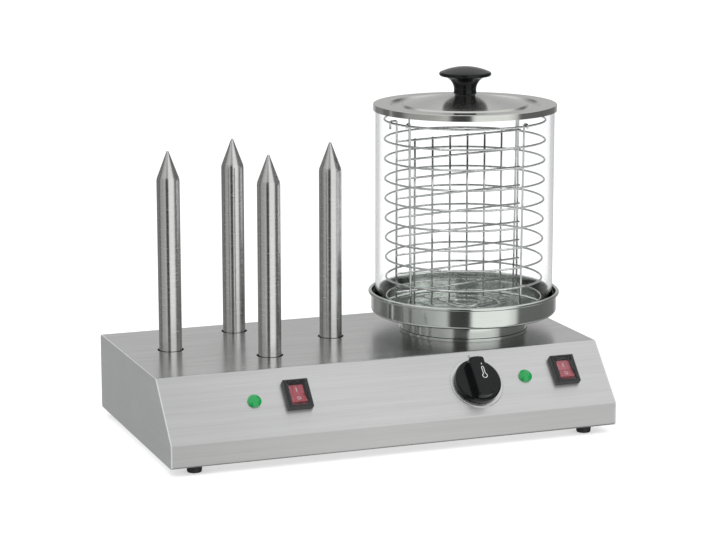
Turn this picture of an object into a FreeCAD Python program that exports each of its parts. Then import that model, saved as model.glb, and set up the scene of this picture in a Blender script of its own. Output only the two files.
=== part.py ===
import FreeCAD, Part
import Sketcher
import functools
import math
import os
import re

# Hot dog toaster: a sheet-steel housing with four heated spikes and a steamer with a glass
# cylinder, a wire basket and a lid. Millimetres. The origin is on the floor, midway across and
# midway between the housing's front and the cord gland's outer end. +X is to the right, +Y to the
# back and +Z up.

os.makedirs("parts", exist_ok=True)
doc = FreeCAD.newDocument("hot_dog_toaster")
V = FreeCAD.Vector

# Driving dimensions

SIZES = {
    # housing
    "housing_width": 500.0,
    "housing_depth": 274.0,
    "housing_height": 82.8,
    "lip_height": 25.1,
    "slope_run": 53.3,
    "sheet_thickness": 1.5,
    "bend_radius": 3.0,
    "return_flange": 28.0,
    "side_thickness": 1.5,
    "side_flange": 12.0,
    "side_edge_radius": 0.7,
    "panel_fit": 0.1,
    "base_thickness": 1.2,
    "vent_length": 60.0,
    "vent_width": 4.0,
    "vent_pitch": 12.0,
    "vent_count": 9,
    # feet
    "foot_height": 9.0,
    "foot_top_diameter": 17.0,
    "foot_bottom_diameter": 15.0,
    "foot_edge_radius": 1.2,
    "foot_side_inset": 30.0,
    "foot_front_inset": 18.0,
    "foot_recess_diameter": 9.0,
    "foot_recess_depth": 4.6,
    "base_screw_span": 160.0,
    # small fasteners
    "screw_diameter": 4.0,
    "screw_head_diameter": 7.6,
    "screw_head_height": 2.6,
    "screw_clearance": 0.2,
    "nut_flats": 7.0,
    "nut_height": 3.2,
    "thread_fit": 0.05,
    # heated spikes
    "spike_diameter": 24.9,
    "spike_height": 216.1,
    "spike_tip_length": 30.0,
    "spike_tip_radius": 1.0,
    "spike_shoulder_radius": 14.0,
    "spike_wall": 1.5,
    "spike_hole_diameter": 28.6,
    "spikes_x": -106.2,
    "spikes_y": 37.9,
    "spikes_half_width": 91.7,
    "spikes_half_depth": 62.5,
    "core_length": 165.0,
    "core_fit": 0.1,
    "plug_height": 14.0,
    "plug_flange_width": 2.5,
    "plug_flange_height": 3.0,
    "plug_stud_diameter": 10.0,
    "plug_stud_length": 16.0,
    "plug_nut_flats": 17.0,
    "plug_nut_height": 6.0,
    "bracket_drop": 24.0,
    "bracket_thickness": 2.0,
    "plug_gap": 1.0,
    "bracket_flange": 14.0,
    # steamer
    "steamer_x": 140.7,
    "steamer_y": 29.2,
    "base_ring_radius": 70.0,
    "base_ring_height": 19.4,
    "base_ring_wall": 1.2,
    "base_ring_lip": 2.6,
    "base_ring_lip_height": 2.4,
    "base_ring_shelf": 8.0,
    "base_ring_top_radius": 2.5,
    "pan_radius": 103.4,
    "pan_height": 24.5,
    "pan_wall": 1.0,
    "pan_corner_radius": 3.5,
    "pan_bead_radius": 2.1,
    "heater_plate_gap": 3.3,
    "heater_plate_thickness": 8.0,
    "element_ring_radius": 34.0,
    "element_wire_radius": 4.0,
    "element_fit": 0.1,
    "element_leg_spacing": 16.0,
    "element_leg_length": 26.0,
    "lead_hole_radius": 42.0,
    "pan_stud_count": 3,
    "pan_stud_turn": 30.0,
    "pan_stud_circle": 50.0,
    "pan_stud_diameter": 5.0,
    "pan_stud_end": 6.0,
    "pan_spacer_diameter": 10.0,
    "pan_nut_flats": 8.0,
    "pan_nut_height": 4.0,
    "bulb_diameter": 6.0,
    "bulb_length": 44.0,
    "bulb_offset": 10.0,
    "glass_radius": 98.8,
    "glass_wall": 4.0,
    "glass_height": 231.0,
    "glass_edge_radius": 1.0,
    # lid
    "lid_radius": 101.4,
    "lid_thickness": 1.0,
    "lid_skirt": 7.0,
    "lid_edge_radius": 0.9,
    "lid_seam": 0.05,
    "lid_skirt_parts": 8,
    "lid_groove_outer": 83.1,
    "lid_groove_inner": 68.0,
    "lid_groove_depth": 2.5,
    "lid_groove_flank": 2.0,
    "lid_cone_rise": 11.6,
    "lid_cone_step": 0.2,
    "lid_knob_neck_diameter": 25.6,
    "lid_knob_diameter": 57.6,
    "lid_knob_height": 29.3,
    "lid_knob_rim_height": 21.2,
    "lid_knob_rim_thickness": 4.6,
    "lid_knob_rim_round": 1.7,
    "lid_knob_waist": 0.6,
    "lid_screw_reach": 17.0,
    "lid_washer_diameter": 16.0,
    "lid_washer_height": 1.2,
    # basket
    "wire_diameter": 2.3,
    "ring_count": 10,
    "ring_pitch": 22.1,
    "basket_height": 215.0,
    "basket_top_radius": 88.9,
    "basket_bottom_radius": 86.4,
    "basket_turn": 24.0,
    "weld_gap": 0.1,
    "rest_gap": 0.8,
    "wire_bend_radius": 6.0,
    "hook_tail": 2.0,
    "floor_ring_count": 3,
    "floor_ring_radius": 62.0,
    "floor_ring_step": 22.0,
    "divider_turn": 12.5,
    "divider_offset": 11.0,
    "divider_gap": 0.4,
    "divider_rod_count": 8,
    "divider_rail_count": 4,
    "divider_rail_pitch": 52.0,
    "divider_rail_drop": 20.0,
    "divider_hook_tail": 6.0,
    # thermostat
    "dial_x": 96.9,
    "dial_rise": 39.1,
    "dial_ring_radius": 29.5,
    "dial_ring_inner_radius": 21.0,
    "dial_ring_thickness": 1.2,
    "dial_gap": 0.5,
    "dial_radius": 25.5,
    "dial_wall": 2.2,
    "dial_skirt_height": 6.0,
    "dial_shoulder_drop": 1.5,
    "dial_roof": 2.4,
    "grip_width": 17.0,
    "grip_height": 11.0,
    "grip_edge_radius": 2.0,
    "grip_corner_radius": 3.0,
    "grip_inset": 0.6,
    "socket_diameter": 12.0,
    "spindle_diameter": 6.0,
    "spindle_flat": 1.5,
    "spindle_reach": 13.0,
    "spindle_depth": 14.0,
    "running_fit": 0.05,
    "bush_diameter": 10.0,
    "bush_height": 1.0,
    "thermostat_width": 36.0,
    "thermostat_length": 44.0,
    "thermostat_depth": 24.0,
    "thermostat_screw_spacing": 28.0,
    "thermostat_screw_head": 1.6,
    # pilot lamps
    "lamp_left_x": -151.5,
    "lamp_right_x": 154.5,
    "lamp_rise": 42.1,
    "lamp_diameter": 14.5,
    "lamp_flange": 1.8,
    "lamp_dome": 2.6,
    "lamp_stem_diameter": 10.0,
    "lamp_stem_length": 8.0,
    "lamp_socket_diameter": 12.2,
    "lamp_socket_length": 22.0,
    # rocker switches
    "switch_left_x": -104.6,
    "switch_right_x": 200.6,
    "switch_rise": 44.1,
    "switch_width": 27.0,
    "switch_length": 33.0,
    "switch_height": 8.0,
    "switch_opening_width": 17.0,
    "switch_opening_length": 26.4,
    "switch_opening_depth": 16.0,
    "switch_body_width": 21.6,
    "switch_body_length": 29.6,
    "switch_body_depth": 22.0,
    "switch_bevel": 1.6,
    "cover_ledge": 1.2,
    "cover_depth": 1.4,
    "cover_proud": 0.8,
    "rocker_side_gap": 0.5,
    "rocker_half_length": 11.0,
    "rocker_face_height": 2.5,
    "rocker_thickness": 5.0,
    "rocker_keel_width": 8.0,
    "rocker_tilt": 20.0,
    "rocker_keel": 6.0,
    "pivot_diameter": 2.4,
    "pivot_reach": 1.0,
    "pivot_end_gap": 0.2,
    # mains connection
    "gland_inset": 70.0,
    "gland_height_up": 40.0,
    "gland_thread_diameter": 16.0,
    "gland_bore_diameter": 7.6,
    "gland_flats": 21.0,
    "gland_head": 4.0,
    "gland_dome": 3.5,
    "gland_thread_length": 14.0,
    "gland_nut_height": 5.0,
    "terminal_inset": 50.0,
    "terminal_y": -50.0,
    "terminal_length": 58.0,
    "terminal_width": 18.0,
    "terminal_height": 16.0,
    "terminal_pitch": 11.0,
    "terminal_hole_diameter": 6.0,
}

# Places worked out from the driving dimensions

PLACES = {
    "slope_angle": "atan((housing_height - lip_height) / slope_run)",
    "half_depth": "housing_depth / 2",
    "frame_shift": "(gland_head + gland_dome) / 2",
    "gland_x": "gland_inset - housing_width / 2",
    "terminal_x": "terminal_inset - housing_width / 2",
    "shell_length": "housing_width - 2 * side_thickness",
    "top_z": "foot_height + housing_height",
    "top_under_z": "top_z - sheet_thickness",
    "base_top_z": "foot_height + sheet_thickness + base_thickness",
    "bracket_z": "top_under_z - bracket_drop",
    "spike_foot_z": "bracket_z + plug_flange_height",
    "spike_length": "top_z + spike_height - spike_foot_z",
    "plug_reach": "spike_diameter / 2 + plug_flange_width + plug_gap",
    "pan_z": "top_z + base_ring_height",
    "heater_plate_radius": "base_ring_radius - base_ring_shelf - heater_plate_gap",
    "pan_floor_z": "pan_z + pan_wall",
    "glass_top_z": "pan_floor_z + glass_height",
    "lid_rim_z": "glass_top_z + lid_thickness",
    "lid_seam_radius": "lid_groove_outer + lid_thickness",
    "lid_cone_edge_z": "lid_rim_z - lid_cone_step",
    "lid_neck_z": "lid_cone_edge_z + lid_cone_rise",
    "basket_top_z": "pan_floor_z + basket_height",
    "basket_taper": "(basket_top_radius - basket_bottom_radius) / ((ring_count - 1) * ring_pitch)",
    "upright_inset": "wire_diameter + weld_gap",
    "cross_low_z": "pan_floor_z + rest_gap + wire_diameter / 2",
    "cross_high_z": "cross_low_z + wire_diameter + weld_gap",
    "floor_ring_z": "cross_high_z + wire_diameter + weld_gap",
    "divider_foot_z": "floor_ring_z + wire_diameter / 2 + weld_gap",
    "divider_reach": "basket_bottom_radius - wire_diameter / 2",
    "divider_half_chord": "sqrt(divider_reach^2 - (divider_offset + wire_diameter)^2)",
    "divider_half_span": "divider_half_chord - wire_diameter / 2 - divider_gap",
    "divider_ring_x": "sqrt(basket_top_radius^2 - divider_offset^2)",
    "knob_foot": "dial_ring_thickness + dial_gap",
    "skirt_top": "knob_foot + dial_skirt_height",
    "knob_roof": "skirt_top - dial_roof",
}

sizes = doc.addObject("Spreadsheet::Sheet", "Sizes")
for row, (alias, value) in enumerate(SIZES.items(), start=1):
    sizes.set(f"A{row}", alias)
    sizes.set(f"B{row}", str(value))
    sizes.setAlias(f"B{row}", alias)

places = doc.addObject("Spreadsheet::Sheet", "Places")


def formula(text):
    """The text with each named size or place written as a cell of its sheet."""
    def cell(match):
        word = match.group()
        if word in SIZES:
            return "Sizes." + word
        if word in PLACES:
            return "Places." + word
        return word

    return re.sub(r"[a-z_]+", cell, text)


for row, (alias, text) in enumerate(PLACES.items(), start=1):
    places.set(f"A{row}", alias)
    places.set(f"B{row}", "=" + formula(text).replace("Places.", ""))
    places.setAlias(f"B{row}", alias)
doc.recompute()


reckoner = doc.addObject("Spreadsheet::Sheet", "Reckoner")


@functools.cache
def number(text):
    """The value of a formula, worked out by a sheet."""
    reckoner.set("A1", "=" + formula(text))
    reckoner.recompute()
    found = reckoner.get("A1")
    return float(getattr(found, "Value", found))


# Helpers for sketches and features

PARTS = []


def bind(thing, **formulas):
    """Ties properties of an object to formulas; a double underscore stands for a dot."""
    for name, text in formulas.items():
        thing.setExpression(name.replace("__", "."), formula(text))


def place(thing, x="0", y="0", z="0", turn=None, axis=V(0, 0, 1)):
    """Puts an object at formulas from the housing's middle, turned by a formula in degrees."""
    y = f"{y} - frame_shift"
    corner = V(number(x), number(y), number(z))
    thing.Placement = FreeCAD.Placement(corner, FreeCAD.Rotation(axis, 1))
    bind(thing, Placement__Base__x=x, Placement__Base__y=y, Placement__Base__z=z)
    if turn is None:
        thing.Placement.Rotation = FreeCAD.Rotation()
    else:
        bind(thing, Placement__Rotation__Angle=turn)
    return thing


def on_panel(thing, x, rise):
    """Puts an object on the sloped panel: local Y runs up the slope, local Z stands out of it."""
    y = f"0 - half_depth + ({rise}) * cos(slope_angle)"
    z = f"foot_height + lip_height + ({rise}) * sin(slope_angle)"
    return place(thing, x, y, z, "slope_angle", V(1, 0, 0))


def new_body(label):
    body = doc.addObject("PartDesign::Body", label)
    body.Label = label
    PARTS.append(body)
    return place(body)


def origin_feature(body, role):
    return next(item for item in body.Origin.OriginFeatures if item.Role == role)


def new_sketch(body, plane="XY_Plane", lift="0", turn=None, x="0", y="0"):
    """A sketch on one of the body's origin planes, lifted along its normal by a formula."""
    name = f"{body.Name}_sketch_{len(body.Group)}"
    sketch = body.newObject("Sketcher::SketchObject", name)
    sketch.AttachmentSupport = (origin_feature(body, plane), [""])
    sketch.MapMode = "FlatFace"
    if turn is not None:
        sketch.AttachmentOffset = FreeCAD.Placement(V(), FreeCAD.Rotation(V(1, 0, 0), 1))
        bind(sketch, AttachmentOffset__Rotation__Angle=turn)
    bind(sketch, AttachmentOffset__Base__x=x, AttachmentOffset__Base__y=y, AttachmentOffset__Base__z=lift)
    return sketch


def fix_point(sketch, geometry, which, x, y):
    """Holds a point of a sketch at two formulas from the sketch's origin."""
    for kind, text in (("DistanceX", x), ("DistanceY", y)):
        index = sketch.addConstraint(Sketcher.Constraint(kind, -1, 1, geometry, which, number(text)))
        sketch.setExpression(f"Constraints[{index}]", formula(text))


def add_outline(sketch, corners, arcs=None):
    """A closed outline through corners, each a pair of formulas.

    The side that starts at a corner is straight, or an arc through the point that arcs gives
    for that corner's number, or an arc about a point of the sketch's upright axis where arcs
    gives None.
    """
    arcs = arcs or {}
    points = [V(number(x), number(y), 0) for x, y in corners]
    first = sketch.GeometryCount
    count = len(points)
    ends = []
    for i, point in enumerate(points):
        following = points[(i + 1) % count]
        if i not in arcs:
            sketch.addGeometry(Part.LineSegment(point, following), False)
            ends.append((1, 2))
            continue
        if arcs[i] is None:
            rise = (following.y**2 - point.y**2 - point.x**2) / (2 * (following.y - point.y))
            hub = V(0, rise, 0)
            outward = (point + following) / 2 - hub
            middle = hub + outward * ((point - hub).Length / outward.Length)
        else:
            middle = V(number(arcs[i][0]), number(arcs[i][1]), 0)
        left_turn = (middle - point).cross(following - point).z > 0
        begin, finish = (point, following) if left_turn else (following, point)
        circle = Part.Arc(point, middle, following).toShape().Curve
        centre = circle.Center
        angles = [math.atan2(end.y - centre.y, end.x - centre.x) for end in (begin, finish)]
        ring = Part.Circle(centre, V(0, 0, 1), circle.Radius)
        sketch.addGeometry(Part.ArcOfCircle(ring, *angles), False)
        ends.append((1, 2) if left_turn else (2, 1))
    for i in range(count):
        after = (i + 1) % count
        joint = Sketcher.Constraint("Coincident", first + i, ends[i][1], first + after, ends[after][0])
        sketch.addConstraint(joint)
    for i, (x, y) in enumerate(corners):
        fix_point(sketch, first + i, ends[i][0], x, y)
    for i, through in arcs.items():
        if through is None:
            sketch.addConstraint(Sketcher.Constraint("PointOnObject", first + i, 3, -2))
            continue
        held = sketch.addGeometry(Part.Point(V(number(through[0]), number(through[1]), 0)), True)
        fix_point(sketch, held, 1, *through)
        sketch.addConstraint(Sketcher.Constraint("PointOnObject", held, 1, first + i))


def add_circle(sketch, x, y, radius):
    size = number(radius)
    centre = V(number(x), number(y), 0)
    index = sketch.addGeometry(Part.Circle(centre, V(0, 0, 1), size), False)
    fix_point(sketch, index, 3, x, y)
    held = sketch.addConstraint(Sketcher.Constraint("Radius", index, size))
    sketch.setExpression(f"Constraints[{held}]", formula(radius))


def add_box(sketch, x, y, width, length):
    """A rectangle with its middle at x, y."""
    left, right = f"({x}) - ({width}) / 2", f"({x}) + ({width}) / 2"
    low, high = f"({y}) - ({length}) / 2", f"({y}) + ({length}) / 2"
    add_outline(sketch, [(left, low), (right, low), (right, high), (left, high)])


def add_hexagon(sketch, x, y, flats):
    """A regular hexagon with its middle at x, y and two flats square to local Y."""
    corners = []
    for step in range(6):
        across = f"({x}) + ({flats}) / sqrt(3) * cos({60 * step} deg)"
        along = f"({y}) + ({flats}) / sqrt(3) * sin({60 * step} deg)"
        corners.append((across, along))
    add_outline(sketch, corners)


def pad(body, sketch, length, down=False, both=False, taper=None):
    feature = body.newObject("PartDesign::Pad", f"{body.Name}_pad_{len(body.Group)}")
    feature.Profile = sketch
    feature.Reversed = down
    feature.SideType = "Symmetric" if both else "One side"
    bind(feature, Length=length)
    if taper is not None:
        bind(feature, TaperAngle=taper)
    doc.recompute()
    return feature


def pocket(body, sketch, depth, up=False, both=False):
    before = body.Shape.Volume
    feature = body.newObject("PartDesign::Pocket", f"{body.Name}_pocket_{len(body.Group)}")
    feature.Profile = sketch
    feature.Reversed = up
    feature.SideType = "Symmetric" if both else "One side"
    bind(feature, Length=depth)
    doc.recompute()
    if not body.Shape.Volume < before - 1e-6:
        raise RuntimeError(f"{feature.Name} cuts nothing")
    return feature


def revolve(body, corners, arcs=None):
    """Turns an outline of (radius, height) formulas about the body's Z axis."""
    sketch = new_sketch(body, "XZ_Plane")
    add_outline(sketch, corners, arcs)
    return revolve_sketch(body, sketch)


def revolve_sketch(body, sketch, groove=False):
    kind = "Groove" if groove else "Revolution"
    before = body.Shape.Volume if groove else 0
    feature = body.newObject(f"PartDesign::{kind}", f"{body.Name}_{kind.lower()}_{len(body.Group)}")
    feature.Profile = sketch
    feature.ReferenceAxis = (sketch, ["V_Axis"])
    feature.Angle = 360
    doc.recompute()
    if groove and not body.Shape.Volume < before - 1e-6:
        raise RuntimeError(f"{feature.Name} cuts nothing")
    return feature


def round_off(body, edges, radius, kind="Fillet"):
    """Rounds or bevels named edges of the body's last feature."""
    base = body.Tip
    feature = body.newObject(f"PartDesign::{kind}", f"{body.Name}_{kind.lower()}_{len(body.Group)}")
    feature.Base = (base, edges)
    bind(feature, **{"Radius" if kind == "Fillet" else "Size": radius})
    doc.recompute()
    return feature


def edges_along_x(body, corners):
    """Names of the straight edges along X that pass through corners, each a (y, z) pair."""
    wanted = [(number(y), number(z)) for y, z in corners]
    names = []
    for index, edge in enumerate(body.Tip.Shape.Edges, start=1):
        box = edge.BoundBox
        if box.YLength > 1e-3 or box.ZLength > 1e-3:
            continue
        if any(math.hypot(box.YMin - y, box.ZMin - z) < 1e-3 for y, z in wanted):
            names.append(f"Edge{index}")
    return names


def edges_up(body, half_x=None, half_y=None):
    """Names of the straight edges along Z whose foot lies at plus or minus half_x, half_y."""
    names = []
    for index, edge in enumerate(body.Tip.Shape.Edges, start=1):
        box = edge.BoundBox
        if box.XLength > 1e-3 or box.YLength > 1e-3 or box.ZLength < 1e-3:
            continue
        if abs(abs(box.XMin) - number(half_x)) < 1e-3 and abs(abs(box.YMin) - number(half_y)) < 1e-3:
            names.append(f"Edge{index}")
    return names


def rim_edges(body, rims):
    """Names of the circles about the body's Z axis at each (radius, height) pair."""
    wanted = [(number(radius), number(height)) for radius, height in rims]
    names = []
    for index, edge in enumerate(body.Tip.Shape.Edges, start=1):
        if not isinstance(edge.Curve, Part.Circle):
            continue
        centre = edge.Curve.Center
        if math.hypot(centre.x, centre.y) > 1e-3:
            continue
        if any(abs(edge.Curve.Radius - r) < 1e-3 and abs(centre.z - z) < 1e-3 for r, z in wanted):
            names.append(f"Edge{index}")
    return names


def edges_at_height(body, height):
    """Names of every edge that lies wholly at one height."""
    z = number(height)
    names = []
    for index, edge in enumerate(body.Tip.Shape.Edges, start=1):
        box = edge.BoundBox
        if abs(box.ZMin - z) < 1e-3 and abs(box.ZMax - z) < 1e-3:
            names.append(f"Edge{index}")
    return names


def stacked_rods(body, centres, steps):
    """Solids of round steps, one for each centre; a step is (bottom, height, diameter)."""
    for bottom, height, diameter in steps:
        sketch = new_sketch(body, lift=bottom)
        for x, y in centres:
            add_circle(sketch, x, y, f"({diameter}) / 2")
        pad(body, sketch, height)
    return body


def nuts(label, centres, bottom, flats, height, bore):
    """Hexagon nuts, one for each centre."""
    body = new_body(label)
    sketch = new_sketch(body, lift=bottom)
    for x, y in centres:
        add_hexagon(sketch, x, y, flats)
        add_circle(sketch, x, y, f"({bore}) / 2")
    pad(body, sketch, height)
    return body


def ring_of(count, radius, start):
    """Centres of a bolt circle as pairs of formulas, the first turned by start."""
    turns = [f"({start} + {360 / count * step}) * 1 deg" for step in range(count)]
    return [(f"({radius}) * cos({turn})", f"({radius}) * sin({turn})") for turn in turns]


def bent_path(points, radii):
    """A wire of straight runs through points, joined by tangent arcs, one radius a corner."""
    edges = []
    start = points[0]
    for before, corner, after, radius in zip(points, points[1:], points[2:], radii):
        into = (corner - before).normalize()
        out = (after - corner).normalize()
        half_turn = into.getAngle(out) / 2
        trim = radius * math.tan(half_turn)
        first = corner - into * trim
        last = corner + out * trim
        inward = (out - into).normalize()
        middle = corner + inward * (radius / math.cos(half_turn) - radius)
        edges.append(Part.LineSegment(start, first).toShape())
        edges.append(Part.Arc(first, middle, last).toShape())
        start = last
    edges.append(Part.LineSegment(start, points[-1]).toShape())
    return Part.Wire(edges)


def bent_wire(points, radii, diameter):
    """A round wire swept along a bent path."""
    path = bent_path(points, radii)
    along = (points[1] - points[0]).normalize()
    section = Part.Wire([Part.makeCircle(diameter / 2, points[0], along).Edges[0]])
    return path.makePipeShell([section], True, False)


def shaped(label, shape):
    """A sub-part whose shape is worked out from the sheet's values."""
    feature = doc.addObject("Part::Feature", label)
    feature.Label = label
    feature.Shape = shape
    PARTS.append(feature)
    return feature


# Housing

SHELL_CORNERS = {
    "front_foot": ("0 - half_depth", "0"),
    "lip": ("0 - half_depth", "lip_height"),
    "crest": ("0 - half_depth + slope_run", "housing_height"),
    "back_top": ("half_depth", "housing_height"),
    "back_foot": ("half_depth", "0"),
}


def inset_corners(inset):
    """The housing's profile, moved inward by a formula on every side."""
    return {
        "front_foot": (f"{inset} - half_depth", inset),
        "lip": (f"{inset} - half_depth", f"lip_height - ({inset}) * tan((90 deg - slope_angle) / 2)"),
        "crest": (
            f"slope_run - half_depth + ({inset}) * tan(slope_angle / 2)",
            f"housing_height - ({inset})",
        ),
        "back_top": (f"half_depth - ({inset})", f"housing_height - ({inset})"),
        "back_foot": (f"half_depth - ({inset})", inset),
    }


def spike_centres():
    return [
        ("spikes_x - spikes_half_width", "spikes_y"),
        ("spikes_x", "spikes_y + spikes_half_depth"),
        ("spikes_x", "spikes_y - spikes_half_depth"),
        ("spikes_x + spikes_half_width", "spikes_y"),
    ]


def foot_centres():
    across = "(housing_width / 2 - foot_side_inset)"
    along = "(half_depth - foot_front_inset)"
    return {
        "front_left": (f"0 - {across}", f"0 - {along}"),
        "front_right": (across, f"0 - {along}"),
        "rear_left": (f"0 - {across}", along),
        "rear_right": (across, along),
    }


def base_screw_centres():
    along = "(half_depth - foot_front_inset)"
    half = "base_screw_span / 2"
    return [(f"{side} * {half}", f"{end} * {along}") for side in (-1, 1) for end in (-1, 1)]


def pan_stud_centres():
    return ring_of(int(number("pan_stud_count")), "pan_stud_circle", "pan_stud_turn")


def at_steamer(centres):
    return [(f"steamer_x + {x}", f"steamer_y + {y}") for x, y in centres]


def make_shell():
    """One bent sheet: return flange, lip, sloped panel, top, back and return flange."""
    body = place(new_body("housing_shell"), z="foot_height")
    inner = inset_corners("sheet_thickness")
    sketch = new_sketch(body, "YZ_Plane")
    add_outline(sketch, [
        ("return_flange - half_depth", "0"),
        *SHELL_CORNERS.values(),
        ("half_depth - return_flange", "0"),
        ("half_depth - return_flange", "sheet_thickness"),
        *reversed(list(inner.values())),
        ("return_flange - half_depth", "sheet_thickness"),
    ])
    pad(body, sketch, "shell_length", both=True)
    round_off(body, edges_along_x(body, SHELL_CORNERS.values()), "bend_radius")
    round_off(body, edges_along_x(body, inner.values()), "bend_radius - sheet_thickness")

    top = new_sketch(body, lift="housing_height")
    for x, y in spike_centres():
        add_circle(top, x, y, "spike_hole_diameter / 2")
    for x, y in at_steamer(pan_stud_centres()):
        add_circle(top, x, y, "pan_stud_diameter / 2 + screw_clearance")
    add_circle(top, "steamer_x", "steamer_y", "lead_hole_radius")
    pocket(body, top, "2 * sheet_thickness")

    panel = new_sketch(body, lift="lip_height", y="0 - half_depth", turn="slope_angle")
    add_circle(panel, "dial_x", "dial_rise", "bush_diameter / 2 + screw_clearance")
    for side in (-1, 1):
        hole_x = f"dial_x + {side} * thermostat_screw_spacing / 2"
        add_circle(panel, hole_x, "dial_rise", "screw_diameter / 2 + screw_clearance")
    for x in ("lamp_left_x", "lamp_right_x"):
        add_circle(panel, x, "lamp_rise", "lamp_socket_diameter / 2 + screw_clearance")
    for x in ("switch_left_x", "switch_right_x"):
        width = "switch_body_width + 2 * screw_clearance"
        length = "switch_body_length + 2 * screw_clearance"
        add_box(panel, x, "switch_rise", width, length)
    pocket(body, panel, "4 * sheet_thickness", both=True)

    back = new_sketch(body, "XZ_Plane", lift="0 - half_depth")
    add_circle(back, "gland_x", "gland_height_up", "gland_thread_diameter / 2 + screw_clearance")
    pocket(body, back, "4 * sheet_thickness", both=True)

    under = new_sketch(body)
    for x, y in [*foot_centres().values(), *base_screw_centres()]:
        add_circle(under, x, y, "screw_diameter / 2 + screw_clearance")
    pocket(body, under, "4 * sheet_thickness", both=True)


def make_side_panel(label, side):
    """A flat end plate with an inward flange that lies inside the shell."""
    body = place(new_body(label), z="foot_height")
    plate = new_sketch(body, "YZ_Plane", lift=f"{side} * shell_length / 2")
    add_outline(plate, list(SHELL_CORNERS.values()))
    pad(body, plate, "side_thickness", down=side < 0)
    round_off(body, edges_along_x(body, SHELL_CORNERS.values()), "bend_radius")
    outside = [
        f"Edge{index}"
        for index, edge in enumerate(body.Tip.Shape.Edges, start=1)
        if edge.BoundBox.XLength < 1e-3
        and abs(edge.BoundBox.XMin - side * number("housing_width / 2")) < 1e-3
    ]
    round_off(body, outside, "side_edge_radius")

    inset = "(sheet_thickness + panel_fit)"
    flange = new_sketch(body, "YZ_Plane", lift=f"{side} * shell_length / 2")
    add_outline(flange, list(inset_corners(inset).values()))
    pad(body, flange, "side_flange", down=side > 0)
    round_off(body, edges_along_x(body, inset_corners(inset).values()), "bend_radius - sheet_thickness")
    inset = "(sheet_thickness + panel_fit + side_thickness)"
    hollow = new_sketch(body, "YZ_Plane", lift=f"{side} * (shell_length / 2 - side_flange)")
    add_outline(hollow, list(inset_corners(inset).values()))
    pocket(body, hollow, "side_flange", up=side > 0)


def make_base_plate():
    """The floor of the housing, on the return flanges, with vent slots."""
    body = place(new_body("base_plate"), z="foot_height + sheet_thickness")
    gap = "2 * panel_fit"
    width = f"shell_length - 2 * (side_flange + {gap})"
    length = f"housing_depth - 2 * (bend_radius + {gap})"
    sheet = new_sketch(body)
    add_box(sheet, "0", "0", width, length)
    pad(body, sheet, "base_thickness")
    holes = new_sketch(body, lift="base_thickness")
    for x, y in [*foot_centres().values(), *base_screw_centres()]:
        add_circle(holes, x, y, "screw_diameter / 2 + screw_clearance")
    pocket(body, holes, "2 * base_thickness")
    slot = new_sketch(body, lift="base_thickness")
    add_box(slot, "0 - (vent_count - 1) * vent_pitch / 2", "0", "vent_width", "vent_length")
    cut = pocket(body, slot, "2 * base_thickness")
    row = body.newObject("PartDesign::LinearPattern", "base_plate_vents")
    row.Originals = [cut]
    row.Direction = (origin_feature(body, "X_Axis"), [""])
    bind(row, Length="(vent_count - 1) * vent_pitch", Occurrences="vent_count")
    body.Tip = row
    doc.recompute()


def make_foot(label, x, y):
    """A rubber foot with a recess for its screw."""
    body = place(new_body(label), x, y)
    bore = "screw_diameter / 2 + screw_clearance"
    revolve(body, [
        ("foot_recess_diameter / 2", "0"),
        ("foot_bottom_diameter / 2", "0"),
        ("foot_top_diameter / 2", "foot_height"),
        (bore, "foot_height"),
        (bore, "foot_recess_depth"),
        ("foot_recess_diameter / 2", "foot_recess_depth"),
    ])
    round_off(body, rim_edges(body, [("foot_bottom_diameter / 2", "0")]), "foot_edge_radius")


def make_fasteners():
    """Screws and nuts that hold the feet and the base plate."""
    feet = list(foot_centres().values())
    plate = list(base_screw_centres())
    end = "base_top_z + nut_height + 1"
    head = "foot_recess_depth - screw_head_height"
    screws = new_body("base_screws")
    stacked_rods(screws, feet, [
        (head, "screw_head_height", "screw_head_diameter"),
        ("foot_recess_depth", f"{end} - foot_recess_depth", "screw_diameter"),
    ])
    stacked_rods(screws, plate, [
        ("foot_height - screw_head_height", "screw_head_height", "screw_head_diameter"),
        ("foot_height", f"{end} - foot_height", "screw_diameter"),
    ])
    bore = "screw_diameter + 2 * thread_fit"
    nuts("base_nuts", feet + plate, "base_top_z", "nut_flats", "nut_height", bore)


# Heated spikes

def make_spike(label, x, y):
    """A closed steel tube with a long conical point and a soft shoulder."""
    body = place(new_body(label), x, y, "spike_foot_z")
    shoulder = "spike_length - spike_tip_length"
    outer = "spike_diameter / 2"
    bore = "spike_diameter / 2 - spike_wall"
    ceiling = f"{shoulder} - 2 * spike_wall"
    revolve(body, [
        (bore, "0"),
        (outer, "0"),
        (outer, shoulder),
        ("spike_tip_radius", "spike_length"),
        ("0", "spike_length"),
        ("0", ceiling),
        (bore, ceiling),
    ])
    round_off(body, rim_edges(body, [(outer, shoulder)]), "spike_shoulder_radius")
    tip = rim_edges(body, [("spike_tip_radius", "spike_length")])
    round_off(body, tip, "spike_tip_radius * 0.8")


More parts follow.
